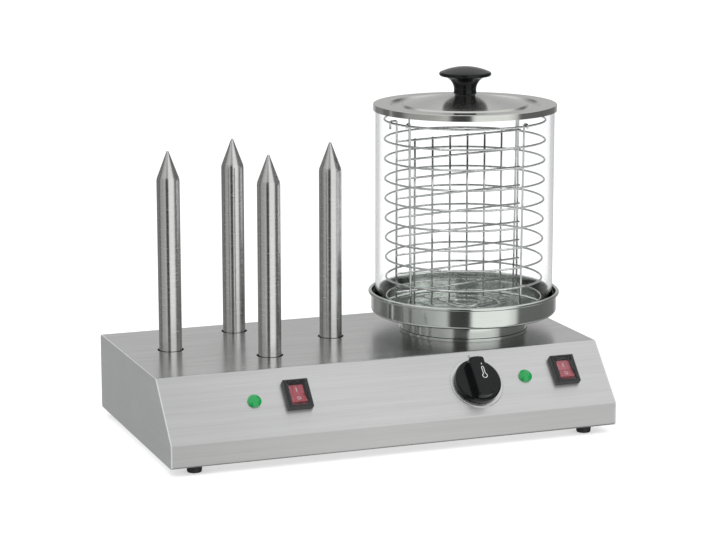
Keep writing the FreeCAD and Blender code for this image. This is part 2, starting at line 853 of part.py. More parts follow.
def make_spike_inner_parts():
    """Plugs, heater cores, lock nuts and the bracket that carries the four spikes."""
    centres = spike_centres()
    bore = "(spike_diameter - 2 * spike_wall)"
    stacked_rods(new_body("spike_plugs"), centres, [
        ("bracket_z - plug_stud_length", "plug_stud_length", "plug_stud_diameter"),
        ("bracket_z", "plug_flange_height", "spike_diameter + 2 * plug_flange_width"),
        ("spike_foot_z", "plug_height", f"{bore} - 2 * core_fit"),
    ])
    core_foot = "spike_foot_z + plug_height"
    core = (core_foot, "core_length", f"{bore} - 2 * core_fit")
    stacked_rods(new_body("spike_heater_cores"), centres, [core])
    nut_foot = "bracket_z - bracket_thickness - plug_nut_height"
    stud_bore = "plug_stud_diameter + 2 * thread_fit"
    nuts("spike_nuts", centres, nut_foot, "plug_nut_flats", "plug_nut_height", stud_bore)

    bracket = place(new_body("spike_bracket"), z="top_under_z")
    profile = new_sketch(bracket, "YZ_Plane", lift="spikes_x")
    half = "(spikes_half_depth + plug_reach)"
    outer = f"{half} + bracket_thickness"
    reach = f"{half} + bracket_flange"
    thin = "0 - bracket_thickness"
    deep = "0 - bracket_drop"
    floor = "0 - bracket_drop - bracket_thickness"
    add_outline(profile, [
        (f"spikes_y - ({reach})", "0"),
        (f"spikes_y - {half}", "0"),
        (f"spikes_y - {half}", deep),
        (f"spikes_y + {half}", deep),
        (f"spikes_y + {half}", "0"),
        (f"spikes_y + {reach}", "0"),
        (f"spikes_y + {reach}", thin),
        (f"spikes_y + {outer}", thin),
        (f"spikes_y + {outer}", floor),
        (f"spikes_y - ({outer})", floor),
        (f"spikes_y - ({outer})", thin),
        (f"spikes_y - ({reach})", thin),
    ])
    pad(bracket, profile, "2 * (spikes_half_width + plug_reach)", both=True)
    holes = new_sketch(bracket, lift=deep)
    for x, y in centres:
        add_circle(holes, x, y, "plug_stud_diameter / 2 + screw_clearance")
    pocket(bracket, holes, "2 * bracket_thickness")


# Steamer: base ring, pan and heater

def make_base_ring():
    """A spun ring that carries the pan: lip at the bottom, shelf turned in at the top."""
    body = place(new_body("pan_base_ring"), "steamer_x", "steamer_y", "top_z")
    revolve(body, [
        ("base_ring_radius - base_ring_wall", "0"),
        ("base_ring_radius + base_ring_lip", "0"),
        ("base_ring_radius + base_ring_lip", "base_ring_lip_height"),
        ("base_ring_radius", "base_ring_lip_height"),
        ("base_ring_radius", "base_ring_height"),
        ("base_ring_radius - base_ring_shelf", "base_ring_height"),
        ("base_ring_radius - base_ring_shelf", "base_ring_height - base_ring_wall"),
        ("base_ring_radius - base_ring_wall", "base_ring_height - base_ring_wall"),
    ])
    round_off(body, rim_edges(body, [("base_ring_radius", "base_ring_height")]), "base_ring_top_radius")
    lip = rim_edges(body, [("base_ring_radius + base_ring_lip", "base_ring_lip_height")])
    round_off(body, lip, "base_ring_lip_height / 2")


def make_pan():
    """A shallow water pan with rounded corners and a rolled bead round its rim."""
    body = place(new_body("water_pan"), "steamer_x", "steamer_y", "pan_z")
    wall_top = "pan_height - pan_bead_radius"
    inner = "pan_radius - pan_wall"
    revolve(body, [
        ("0", "0"),
        ("pan_radius", "0"),
        ("pan_radius", wall_top),
        (inner, wall_top),
        (inner, "pan_wall"),
        ("0", "pan_wall"),
    ])
    round_off(body, rim_edges(body, [("pan_radius", "0")]), "pan_corner_radius")
    round_off(body, rim_edges(body, [(inner, "pan_wall")]), "pan_corner_radius - pan_wall")
    bead = new_sketch(body, "XZ_Plane")
    add_circle(bead, f"{inner} + pan_bead_radius", wall_top, "pan_bead_radius")
    revolve_sketch(body, bead)


def make_heater():
    """Plate, element, clamp studs, spacers, nuts and the thermostat's bulb under the pan."""
    plate = place(new_body("heater_plate"), "steamer_x", "steamer_y", "pan_z - heater_plate_thickness")
    disc = new_sketch(plate)
    add_circle(disc, "0", "0", "heater_plate_radius")
    for x, y in pan_stud_centres():
        add_circle(disc, x, y, "pan_stud_diameter / 2 + screw_clearance")
    pad(plate, disc, "heater_plate_thickness")
    channel = new_sketch(plate, "XZ_Plane")
    add_circle(channel, "element_ring_radius", "0", "element_wire_radius + element_fit")
    revolve_sketch(plate, channel, groove=True)
    bulb_way = new_sketch(plate, "YZ_Plane")
    add_circle(bulb_way, "bulb_offset", "0", "bulb_diameter / 2 + element_fit")
    pocket(plate, bulb_way, "bulb_length + 2", both=True)

    element = place(new_body("heater_element"), "steamer_x", "steamer_y", "pan_z - heater_plate_thickness")
    coil = new_sketch(element, "XZ_Plane")
    add_circle(coil, "element_ring_radius", "0", "element_wire_radius")
    revolve_sketch(element, coil)
    legs = new_sketch(element)
    for side in (-1, 1):
        leg_x = f"{side} * element_leg_spacing / 2"
        add_circle(legs, leg_x, "0 - element_ring_radius", "element_wire_radius * 0.7")
    pad(element, legs, "element_leg_length", down=True)

    studs = at_steamer(pan_stud_centres())
    stud_foot = "top_under_z - pan_nut_height - pan_stud_end / 2"
    stacked_rods(new_body("pan_studs"), studs, [(stud_foot, f"pan_z - ({stud_foot})", "pan_stud_diameter")])
    bore = "pan_stud_diameter + 2 * thread_fit"
    nuts("pan_nuts", studs, "top_under_z - pan_nut_height", "pan_nut_flats", "pan_nut_height", bore)
    sleeves = new_body("pan_spacers")
    section = new_sketch(sleeves, lift="top_z")
    for x, y in studs:
        add_circle(section, x, y, "pan_spacer_diameter / 2")
        add_circle(section, x, y, "pan_stud_diameter / 2 + screw_clearance")
    pad(sleeves, section, "base_ring_height - heater_plate_thickness")


def make_glass():
    """The clear cylinder that stands in the pan."""
    body = place(new_body("glass_cylinder"), "steamer_x", "steamer_y", "pan_floor_z")
    wall = new_sketch(body)
    add_circle(wall, "0", "0", "glass_radius")
    add_circle(wall, "0", "0", "glass_radius - glass_wall")
    pad(body, wall, "glass_height")
    rims = [("glass_radius", "glass_height"), ("glass_radius - glass_wall", "glass_height")]
    round_off(body, rim_edges(body, rims), "glass_edge_radius")


def make_lid():
    """A lid of pressings: a skirt in equal lengths, a flat rim and a grooved dish with a low cone."""
    body = place(new_body("lid"), "steamer_x", "steamer_y", "lid_rim_z")
    groove = "0 - lid_groove_depth"
    cone_edge = "0 - lid_cone_step"
    neck = "lid_neck_z - lid_rim_z"
    neck_radius = "lid_knob_neck_diameter / 2"
    bore = "screw_diameter / 2 + screw_clearance"
    outer_flank = "lid_groove_outer - lid_groove_flank"
    inner_flank = "lid_groove_inner + lid_groove_flank"
    rim_edge = "lid_radius - lid_thickness - lid_seam"
    section = new_sketch(body, "XZ_Plane")
    add_outline(section, [
        ("lid_radius - lid_thickness", "0 - lid_skirt"),
        ("lid_radius", "0 - lid_skirt"),
        ("lid_radius", "0"),
        ("lid_radius - lid_thickness", "0"),
    ])
    add_outline(section, [
        (rim_edge, "0"),
        ("lid_seam_radius", "0"),
        ("lid_seam_radius", "0 - lid_thickness"),
        (rim_edge, "0 - lid_thickness"),
    ])
    add_outline(section, [
        ("lid_seam_radius - lid_seam", "0"),
        ("lid_groove_outer", "0"),
        (outer_flank, groove),
        (inner_flank, groove),
        ("lid_groove_inner", cone_edge),
        (neck_radius, neck),
        (bore, neck),
        (bore, f"{neck} - lid_thickness"),
        (neck_radius, f"{neck} - lid_thickness"),
        ("lid_groove_inner - lid_thickness", f"{cone_edge} - lid_thickness"),
        (f"{inner_flank} - lid_thickness", f"{groove} - lid_thickness"),
        (f"{outer_flank} + lid_thickness", f"{groove} - lid_thickness"),
        ("lid_seam_radius - lid_seam", "0 - lid_thickness"),
    ])
    revolve_sketch(body, section)
    round_off(body, rim_edges(body, [("lid_radius", "0")]), "lid_edge_radius")
    seam = new_sketch(body)
    add_box(seam, "lid_radius - lid_thickness / 2", "0", "lid_thickness + lid_seam", "lid_seam")
    cut = pocket(body, seam, "lid_skirt")
    seams = body.newObject("PartDesign::PolarPattern", "lid_skirt_seams")
    seams.Originals = [cut]
    seams.Axis = (origin_feature(body, "Z_Axis"), [""])
    bind(seams, Angle="360 * 1 deg", Occurrences="lid_skirt_parts")
    body.Tip = seams
    doc.recompute()


def make_lid_knob():
    """A black mushroom knob, with the flanged screw that holds it on the lid."""
    body = place(new_body("lid_knob"), "steamer_x", "steamer_y", "lid_neck_z")
    neck = "lid_knob_neck_diameter / 2"
    rim = "lid_knob_diameter / 2"
    edge = f"({rim} - lid_knob_rim_round)"
    under = "lid_knob_rim_height - lid_knob_rim_thickness / 2"
    over = "lid_knob_rim_height + lid_knob_rim_thickness / 2"
    bore = "screw_diameter / 2 + thread_fit"
    corners = [
        (bore, "0"),
        (neck, "0"),
        (edge, under),
        (edge, over),
        ("0", "lid_knob_height"),
        ("0", "lid_screw_reach + 1"),
        (bore, "lid_screw_reach + 1"),
    ]
    revolve(body, corners, {
        1: (f"{neck} + lid_knob_waist", f"({under}) / 2"),
        2: (rim, "lid_knob_rim_height"),
        3: None,
    })

    centre = [("steamer_x", "steamer_y")]
    foot = "lid_neck_z - lid_thickness - lid_washer_height"
    stacked_rods(new_body("lid_knob_screw"), centre, [
        (f"{foot} - screw_head_height", "screw_head_height", "screw_head_diameter"),
        (foot, "lid_washer_height", "lid_washer_diameter"),
        ("lid_neck_z - lid_thickness", "lid_thickness + lid_screw_reach", "screw_diameter"),
    ])


# Sausage basket

def wire_section(radius):
    """The six corners of a wire's section, at a radius from the steamer's axis."""
    half = "wire_diameter / 2"
    flat = f"{half} * cos(30 deg)"
    return [
        (f"{radius} + {half}", "0"),
        (f"{radius} + {half} / 2", flat),
        (f"{radius} - {half} / 2", flat),
        (f"{radius} - {half}", "0"),
        (f"{radius} - {half} / 2", f"0 - {flat}"),
        (f"{radius} + {half} / 2", f"0 - {flat}"),
    ]


def wire_ring(name, radius, height):
    """A level ring about the steamer's axis."""
    body = place(new_body(name), "steamer_x", "steamer_y", height)
    revolve(body, wire_section(radius))


def make_basket_rings():
    """Ten level rings that grow slightly wider towards the top."""
    for step in range(int(number("ring_count"))):
        drop = f"{step} * ring_pitch"
        radius = f"basket_top_radius - {drop} * basket_taper"
        wire_ring(f"basket_ring_{step + 1:02d}", radius, f"basket_top_z - {drop}")


def make_basket_floor():
    """Level rings on the cross wires, one inside the other."""
    body = place(new_body("basket_floor_rings"), "steamer_x", "steamer_y", "floor_ring_z")
    sketch = new_sketch(body, "XZ_Plane")
    for step in range(int(number("floor_ring_count"))):
        radius = f"floor_ring_radius - {step} * floor_ring_step"
        add_outline(sketch, wire_section(radius))
    revolve_sketch(body, sketch)


def at_axis(turn):
    """Where the steamer's axis stands, turned by degrees about it."""
    turned = FreeCAD.Rotation(V(0, 0, 1), turn)
    centre = V(number("steamer_x"), number("steamer_y - frame_shift"), 0)
    return FreeCAD.Placement(centre, turned)


def make_upright(label, turn, cross_z):
    """One wire bent into a U: over the top ring, down inside the rings, across the floor and up."""
    inset = number("upright_inset")
    ring_z = number("basket_top_z")
    top_radius = number("basket_top_radius")
    foot_radius = top_radius - inset - number("basket_taper") * (ring_z - number(cross_z))
    half = [
        V(top_radius + inset, 0, ring_z - number("hook_tail")),
        V(top_radius + inset, 0, ring_z + inset),
        V(top_radius - inset, 0, ring_z + inset),
        V(foot_radius, 0, number(cross_z)),
    ]
    mirrored = [V(-point.x, 0, point.z) for point in reversed(half)]
    hook = 0.94 * inset
    bend = number("wire_bend_radius")
    radii = [hook, hook, bend, bend, hook, hook]
    wire = bent_wire(half + mirrored, radii, number("wire_diameter"))
    shaped(label, wire).Placement = at_axis(number(turn))


def make_divider():
    """An upright grid across the basket whose two end rods hook over the top ring."""
    diameter = number("wire_diameter")
    span = number("divider_half_span")
    y = number("divider_offset")
    foot = number("divider_foot_z")
    inset = number("upright_inset")
    ring_z = number("basket_top_z")
    ring_x = number("divider_ring_x")
    rail_z = ring_z - number("divider_rail_drop")
    rods = int(number("divider_rod_count"))
    wires = []
    for index in range(1, rods - 1):
        x = -span + 2 * span * index / (rods - 1)
        wires.append(Part.makeCylinder(diameter / 2, rail_z + diameter / 2 - foot, V(x, y, foot)))
    for index in range(int(number("divider_rail_count"))):
        z = rail_z - index * number("divider_rail_pitch")
        start = V(-span - diameter / 2, y - inset, z)
        wires.append(Part.makeCylinder(diameter / 2, 2 * span + diameter, start, V(1, 0, 0)))
    for side in (-1, 1):
        points = [
            V(side * span, y, foot),
            V(side * span, y, ring_z + inset),
            V(side * (ring_x + inset), y, ring_z + inset),
            V(side * (ring_x + inset), y, ring_z - number("divider_hook_tail")),
        ]
        wires.append(bent_wire(points, [inset, inset], diameter))
    shaped("basket_divider", Part.makeCompound(wires)).Placement = at_axis(number("divider_turn"))


# Thermostat

def make_thermostat():
    """Body with its bush, spindle, fixing screws, dial ring, knob and bulb."""
    body = on_panel(new_body("thermostat_body"), "dial_x", "dial_rise")
    case = new_sketch(body, lift="0 - sheet_thickness - thermostat_depth")
    add_box(case, "0", "0", "thermostat_width", "thermostat_length")
    pad(body, case, "thermostat_depth")
    bush = new_sketch(body, lift="0 - sheet_thickness")
    add_circle(bush, "0", "0", "bush_diameter / 2")
    pad(body, bush, "sheet_thickness + bush_height")
    bore = new_sketch(body, lift="bush_height")
    add_circle(bore, "0", "0", "spindle_diameter / 2 + running_fit")
    pocket(body, bore, "bush_height + spindle_depth + dial_gap")

    spindle = on_panel(new_body("thermostat_spindle"), "dial_x", "dial_rise")
    rod = new_sketch(spindle, lift="0 - spindle_depth")
    add_circle(rod, "0", "0", "spindle_diameter / 2")
    pad(spindle, rod, "spindle_depth + spindle_reach")
    flat = new_sketch(spindle, lift="spindle_reach")
    add_box(flat, "0", "spindle_diameter - spindle_flat", "2 * spindle_diameter", "spindle_diameter")
    pocket(spindle, flat, "spindle_reach - knob_foot")

    screws = [(f"{side} * thermostat_screw_spacing / 2", "0") for side in (-1, 1)]
    heads = stacked_rods(new_body("thermostat_screws"), screws, [
        ("0 - sheet_thickness", "sheet_thickness", "screw_diameter"),
        ("0", "thermostat_screw_head", "screw_head_diameter"),
    ])
    on_panel(heads, "dial_x", "dial_rise")

    ring = on_panel(new_body("dial_ring"), "dial_x", "dial_rise")
    disc = new_sketch(ring)
    add_circle(disc, "0", "0", "dial_ring_radius")
    add_circle(disc, "0", "0", "dial_ring_inner_radius")
    pad(ring, disc, "dial_ring_thickness")
    rim = rim_edges(ring, [("dial_ring_radius", "dial_ring_thickness")])
    round_off(ring, rim, "dial_ring_thickness / 2")

    bulb = place(new_body("thermostat_bulb"), "steamer_x", "steamer_y", "pan_z - heater_plate_thickness")
    rod = new_sketch(bulb, "YZ_Plane")
    add_circle(rod, "bulb_offset", "0", "bulb_diameter / 2")
    pad(bulb, rod, "bulb_length", both=True)


def make_dial_knob():
    """A round skirt with a raised bar across it, hollow underneath, on a socket."""
    body = on_panel(new_body("thermostat_knob"), "dial_x", "dial_rise")
    shoulder = "skirt_top - dial_shoulder_drop"
    revolve(body, [
        ("0", "knob_roof"),
        ("dial_radius - dial_wall", "knob_roof"),
        ("dial_radius - dial_wall", "knob_foot"),
        ("dial_radius", "knob_foot"),
        ("dial_radius", shoulder),
        ("dial_radius - dial_shoulder_drop", "skirt_top"),
        ("0", "skirt_top"),
    ])
    bar = new_sketch(body, lift="skirt_top")
    half_width = "grip_width / 2"
    reach = "(dial_radius - dial_shoulder_drop - grip_inset)"
    half_length = f"sqrt({reach}^2 - ({half_width})^2)"
    corners = [
        (f"0 - {half_width}", f"0 - {half_length}"),
        (half_width, f"0 - {half_length}"),
        (half_width, half_length),
        (f"0 - {half_width}", half_length),
    ]
    add_outline(bar, corners, {0: ("0", f"0 - {reach}"), 2: ("0", reach)})
    pad(body, bar, "grip_height")
    round_off(body, edges_up(body, half_width, half_length), "grip_corner_radius")
    round_off(body, edges_at_height(body, "skirt_top + grip_height"), "grip_edge_radius")
    socket = new_sketch(body, lift="knob_foot")
    add_circle(socket, "0", "0", "socket_diameter / 2")
    pad(body, socket, "knob_roof - knob_foot")
    bore = new_sketch(body, lift="knob_foot")
    add_circle(bore, "0", "0", "spindle_diameter / 2 + running_fit")
    pocket(body, bore, "spindle_reach - knob_foot + dial_gap", up=True)


# Pilot lamps

LAMPS = {"left": "lamp_left_x", "right": "lamp_right_x"}


def make_pilot_lamps():
    """Green lenses with a low dome, each held in a black socket behind the panel."""
    rim = "lamp_diameter / 2"
    stem = "lamp_stem_diameter / 2"
    for side, x in LAMPS.items():
        lens = on_panel(new_body(f"pilot_lamp_{side}"), x, "lamp_rise")
        corners = [
            ("0", "0 - lamp_stem_length"),
            (stem, "0 - lamp_stem_length"),
            (stem, "0"),
            (rim, "0"),
            (rim, "lamp_flange"),
            ("0", "lamp_flange + lamp_dome"),
        ]
        revolve(lens, corners, {4: None})
    sockets = on_panel(new_body("pilot_lamp_sockets"), "0", "lamp_rise")
    floor = "lamp_stem_length + thread_fit"
    bottom = new_sketch(sockets, lift="0 - lamp_socket_length")
    tube = new_sketch(sockets, lift=f"0 - ({floor})")
    for x in LAMPS.values():
        add_circle(bottom, x, "0", "lamp_socket_diameter / 2")
        add_circle(tube, x, "0", "lamp_socket_diameter / 2")
        add_circle(tube, x, "0", f"{stem} + thread_fit")
    pad(sockets, bottom, f"lamp_socket_length - ({floor})")
    pad(sockets, tube, floor)


# Rocker switches

SWITCHES = {"left": "switch_left_x", "right": "switch_right_x"}
COVER_WIDTH = "switch_opening_width + 2 * cover_ledge"
COVER_LENGTH = "switch_opening_length + 2 * cover_ledge"


def make_switch(side, x):
    """A black frame with its body behind the panel, and a rocker on two pins."""
    frame = on_panel(new_body(f"switch_{side}_frame"), x, "switch_rise")
    body = new_sketch(frame, lift="0 - switch_body_depth")
    add_box(body, "0", "0", "switch_body_width", "switch_body_length")
    pad(frame, body, "switch_body_depth")
    bezel = new_sketch(frame)
    add_box(bezel, "0", "0", "switch_width", "switch_length")
    pad(frame, bezel, "switch_height")
    round_off(frame, edges_at_height(frame, "switch_height"), "switch_bevel", "Chamfer")
    opening = new_sketch(frame, lift="switch_height")
    add_box(opening, "0", "0", "switch_opening_width", "switch_opening_length")
    pocket(frame, opening, "switch_opening_depth")
    ledge = new_sketch(frame, lift="switch_height")
    add_box(ledge, "0", "0", COVER_WIDTH, COVER_LENGTH)
    pocket(frame, ledge, "cover_depth")
    bearing = new_sketch(frame, "YZ_Plane")
    add_circle(bearing, "0", "0", "pivot_diameter / 2 + running_fit")
    reach = "pivot_reach + pivot_end_gap"
    pocket(frame, bearing, f"switch_opening_width + 2 * ({reach})", both=True)

    rocker = on_panel(new_body(f"switch_{side}_rocker"), x, "switch_rise")
    profile = new_sketch(rocker, "YZ_Plane")
    face = "rocker_face_height"
    raised_y = "0 - rocker_half_length * cos(rocker_tilt * 1 deg)"
    raised_z = f"{face} + rocker_half_length * sin(rocker_tilt * 1 deg)"
    add_outline(profile, [
        ("rocker_half_length", face),
        ("0", face),
        (raised_y, raised_z),
        (
            f"{raised_y} - rocker_thickness * sin(rocker_tilt * 1 deg)",
            f"{raised_z} - rocker_thickness * cos(rocker_tilt * 1 deg)",
        ),
        ("0 - rocker_keel_width / 2", "0 - rocker_keel"),
        ("rocker_keel_width / 2", "0 - rocker_keel"),
        ("rocker_half_length", f"{face} - rocker_thickness"),
    ])
    pad(rocker, profile, "switch_opening_width - 2 * rocker_side_gap", both=True)
    pins = new_sketch(rocker, "YZ_Plane")
    add_circle(pins, "0", "0", "pivot_diameter / 2")
    pad(rocker, pins, "switch_opening_width + 2 * pivot_reach", both=True)


def make_switch_covers():
    """Clear covers that lie in the frames' rebates, one over each rocker."""
    covers = on_panel(new_body("switch_covers"), "0", "switch_rise")
    window = new_sketch(covers, lift="switch_height - cover_depth")
    for x in SWITCHES.values():
        add_box(window, x, "0", f"{COVER_WIDTH} - 2 * panel_fit", f"{COVER_LENGTH} - 2 * panel_fit")
    pad(covers, window, "cover_depth + cover_proud")
    top = edges_at_height(covers, "switch_height + cover_proud")
    round_off(covers, top, "cover_proud * 0.7")


# Mains connection

def make_mains_connection():
    """The gland in the back panel with its lock nut, and the terminal block on the base plate."""
    at = ("gland_x", "half_depth", "foot_height + gland_height_up", "0 - 90", V(1, 0, 0))
    gland = place(new_body("cord_gland"), *at)
    thread = new_sketch(gland, lift="0 - gland_thread_length")
    add_circle(thread, "0", "0", "gland_thread_diameter / 2")
    pad(gland, thread, "gland_thread_length")
    head = new_sketch(gland)
    add_hexagon(head, "0", "0", "gland_flats")
    pad(gland, head, "gland_head")
    dome = new_sketch(gland, lift="gland_head")
    add_circle(dome, "0", "0", "gland_flats / 2 - 1")
    pad(gland, dome, "gland_dome")
    rim = rim_edges(gland, [("gland_flats / 2 - 1", "gland_head + gland_dome")])
    round_off(gland, rim, "gland_dome * 0.7")
    bore = new_sketch(gland, lift="gland_head + gland_dome")
    add_circle(bore, "0", "0", "gland_bore_diameter / 2")
    pocket(gland, bore, "gland_head + gland_dome + gland_thread_length")

    bottom = "0 - sheet_thickness - gland_nut_height"
    size = "gland_thread_diameter + 2 * thread_fit"
    place(nuts("gland_nut", [("0", "0")], bottom, "gland_flats", "gland_nut_height", size), *at)

    block = place(new_body("terminal_block"), "terminal_x", "terminal_y", "base_top_z")
    brick = new_sketch(block)
    add_box(brick, "0", "0", "terminal_length", "terminal_width")
    pad(block, brick, "terminal_height")
    ways = int(number("terminal_length / terminal_pitch"))
    hole = new_sketch(block, lift="terminal_height")
    for step in range(ways):
        x = f"({step} - {ways - 1} / 2) * terminal_pitch"
        add_circle(hole, x, "0", "terminal_hole_diameter / 2")
    pocket(block, hole, "terminal_height / 2")


# Export

def check_and_export():
    doc.recompute()
    for item in doc.Objects:
        if "Invalid" in item.State or "Error" in item.State:
            raise RuntimeError(f"{item.Name} failed: {item.State}")
    for item in PARTS:
        if item.Shape.isNull() or not item.Shape.isValid():
            raise RuntimeError(f"{item.Label} has no valid shape")
    for item in PARTS:
        item.Shape.exportStep(f"parts/{item.Label}.step")
        print(item.Label, len(item.Shape.Solids), round(item.Shape.Volume, 1))


make_shell()
make_side_panel("left_side_panel", -1)
make_side_panel("right_side_panel", 1)
make_base_plate()
for corner, (foot_x, foot_y) in foot_centres().items():
    make_foot(f"foot_{corner}", foot_x, foot_y)
make_fasteners()
for name, (spike_x, spike_y) in zip(("left", "rear", "front", "right"), spike_centres()):
    make_spike(f"heating_spike_{name}", spike_x, spike_y)
make_spike_inner_parts()
make_base_ring()
make_pan()
make_heater()
make_glass()
make_lid()
make_lid_knob()
make_basket_rings()
make_basket_floor()
make_upright("basket_upright_low", "basket_turn", "cross_low_z")
make_upright("basket_upright_high", "basket_turn + 90", "cross_high_z")
make_divider()
make_thermostat()
make_dial_knob()
make_pilot_lamps()
for name, switch_x in SWITCHES.items():
    make_switch(name, switch_x)
make_switch_covers()
make_mains_connection()
check_and_export()
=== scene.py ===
import math
import bmesh
import bpy
from mathutils import Matrix, Vector


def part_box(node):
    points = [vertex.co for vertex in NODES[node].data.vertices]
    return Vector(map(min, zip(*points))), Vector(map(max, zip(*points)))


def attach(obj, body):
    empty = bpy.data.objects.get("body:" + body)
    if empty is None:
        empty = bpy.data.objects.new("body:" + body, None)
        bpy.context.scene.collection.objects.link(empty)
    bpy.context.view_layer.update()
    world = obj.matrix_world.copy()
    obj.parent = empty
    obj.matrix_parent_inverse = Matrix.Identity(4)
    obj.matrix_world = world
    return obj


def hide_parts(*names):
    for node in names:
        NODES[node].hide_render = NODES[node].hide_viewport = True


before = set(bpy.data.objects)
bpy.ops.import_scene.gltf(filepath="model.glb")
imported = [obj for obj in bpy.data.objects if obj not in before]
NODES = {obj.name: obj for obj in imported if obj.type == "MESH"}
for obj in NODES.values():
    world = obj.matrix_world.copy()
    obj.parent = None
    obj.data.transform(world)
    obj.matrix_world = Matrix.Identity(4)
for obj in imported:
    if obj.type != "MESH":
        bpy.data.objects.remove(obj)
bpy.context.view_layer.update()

# Looks of the hot dog toaster. Metres, in the part's own frame.

SCENE = bpy.context.scene


def middle(node):
    low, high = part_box(node)
    return (low + high) / 2


# Axis of the steamer and slope of the control panel

AXIS = middle("glass_cylinder")
AXIS_FOOT = Vector((AXIS.x, AXIS.y, 0.0))
LIP_HEIGHT = 0.0251
SLOPE_RUN = 0.0533
SHELL_LOW, SHELL_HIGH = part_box("housing_shell")
LIP_EDGE = Vector((0.0, SHELL_LOW.y, SHELL_LOW.z + LIP_HEIGHT))
SLOPE = math.atan2(SHELL_HIGH.z - LIP_EDGE.z, SLOPE_RUN)
DIAL_X = middle("dial_ring").x
DIAL_RISE = 0.0391
SWITCH_RISE = 0.0441
UP_SLOPE = Vector((0.0, math.cos(SLOPE), math.sin(SLOPE)))
OUTWARD = Vector((0.0, -math.sin(SLOPE), math.cos(SLOPE)))


def on_panel(x, rise, out=0.0):
    """A point given across the control panel, up its slope and out of it."""
    return Vector((x, 0.0, 0.0)) + LIP_EDGE + UP_SLOPE * rise + OUTWARD * out


# Camera

def make_camera():
    camera = bpy.data.objects.new("camera", bpy.data.cameras.new("camera"))
    SCENE.collection.objects.link(camera)
    right = Vector((0.93595, -0.35213, -0.00068)).normalized()
    forward = Vector((0.34510, 0.91763, -0.19714)).normalized()
    up = right.cross(forward)
    turn = Matrix((right, up, -forward)).transposed().to_4x4()
    camera.matrix_world = Matrix.Translation((-0.89846, -2.40229, 0.68713)) @ turn
    camera.data.sensor_width = 36.0
    camera.data.lens = 121.04
    camera.data.clip_start = 0.1
    camera.data.clip_end = 60.0
    SCENE.camera = camera


# Node helpers

class Nodes:
    """A short way to add and link nodes in one material or world."""

    def __init__(self, tree):
        self.tree = tree
        tree.nodes.clear()

    def add(self, kind, inputs=None, **settings):
        node = self.tree.nodes.new(kind)
        for name, value in settings.items():
            setattr(node, name, value)
        for name, value in (inputs or {}).items():
            self.feed(node.inputs[name], value)
        return node

    def feed(self, socket, value):
        if isinstance(value, bpy.types.NodeSocket):
            self.tree.links.new(value, socket)
        else:
            socket.default_value = value

    def math(self, operation, *values, clamp=False):
        inputs = dict(enumerate(values))
        return self.add("ShaderNodeMath", inputs, operation=operation, use_clamp=clamp).outputs[0]

    def vector(self, operation, *values):
        return self.add("ShaderNodeVectorMath", dict(enumerate(values)), operation=operation)

    def noise(self, vector, scale=1.0, detail=3.0, roughness=0.55):
        inputs = {"Vector": vector, "Scale": scale, "Detail": detail, "Roughness": roughness}
        return self.add("ShaderNodeTexNoise", inputs).outputs["Fac"]

    def spread(self, value, low, high, start=0.0, end=1.0):
        inputs = {"Value": value, "From Min": start, "From Max": end, "To Min": low, "To Max": high}
        return self.add("ShaderNodeMapRange", inputs).outputs["Result"]

    def ramp(self, value, stops, mode="LINEAR"):
        node = self.add("ShaderNodeValToRGB", {"Fac": value})
        node.color_ramp.interpolation = mode
        elements = node.color_ramp.elements
        while len(elements) < len(stops):
            elements.new(0.5)
        for element, (position, colour) in zip(elements, stops):
            element.position = position
            element.color = (*colour, 1.0) if isinstance(colour, tuple) else (colour, colour, colour, 1.0)
        return node.outputs["Color"]

    def mix(self, factor, first, second, kind="MIX"):
        node = self.add("ShaderNodeMix", data_type="RGBA", blend_type=kind)
        self.feed(node.inputs[0], factor)
        self.feed(node.inputs[6], first)
        self.feed(node.inputs[7], second)
        return node.outputs[2]

    def bump(self, height, strength, distance):
        inputs = {"Height": height, "Strength": strength, "Distance": distance}
        return self.add("ShaderNodeBump", inputs).outputs["Normal"]


def new_material(name):
    material = bpy.data.materials.new(name)
    material.use_nodes = True
    return material, Nodes(material.node_tree)


def surface(nodes, **inputs):
    """A principled shader with the given sockets, linked to the output."""
    named = {name.replace("_", " "): value for name, value in inputs.items()}
    shader = nodes.add("ShaderNodeBsdfPrincipled", named)
    nodes.add("ShaderNodeOutputMaterial", {"Surface": shader.outputs[0]})
    return shader


def position(nodes):
    return nodes.add("ShaderNodeTexCoord").outputs["Object"]


def stretched(nodes, scale):
    """Object coordinates scaled along each axis, so a noise runs in streaks."""
    return nodes.vector("MULTIPLY", position(nodes), scale).outputs[0]


def round_about(nodes, centre):
    """Coordinates about an upright axis: a little of the angle, the radius and the height."""
    local = nodes.vector("SUBTRACT", position(nodes), tuple(centre)).outputs[0]
    split = nodes.add("ShaderNodeSeparateXYZ", {0: local})
    x, y, z = split.outputs
    squares = nodes.math("ADD", nodes.math("MULTIPLY", x, x), nodes.math("MULTIPLY", y, y))
    radius = nodes.math("SQRT", squares)
    angle = nodes.math("ARCTAN2", y, x)
    return angle, radius, z


# Metals

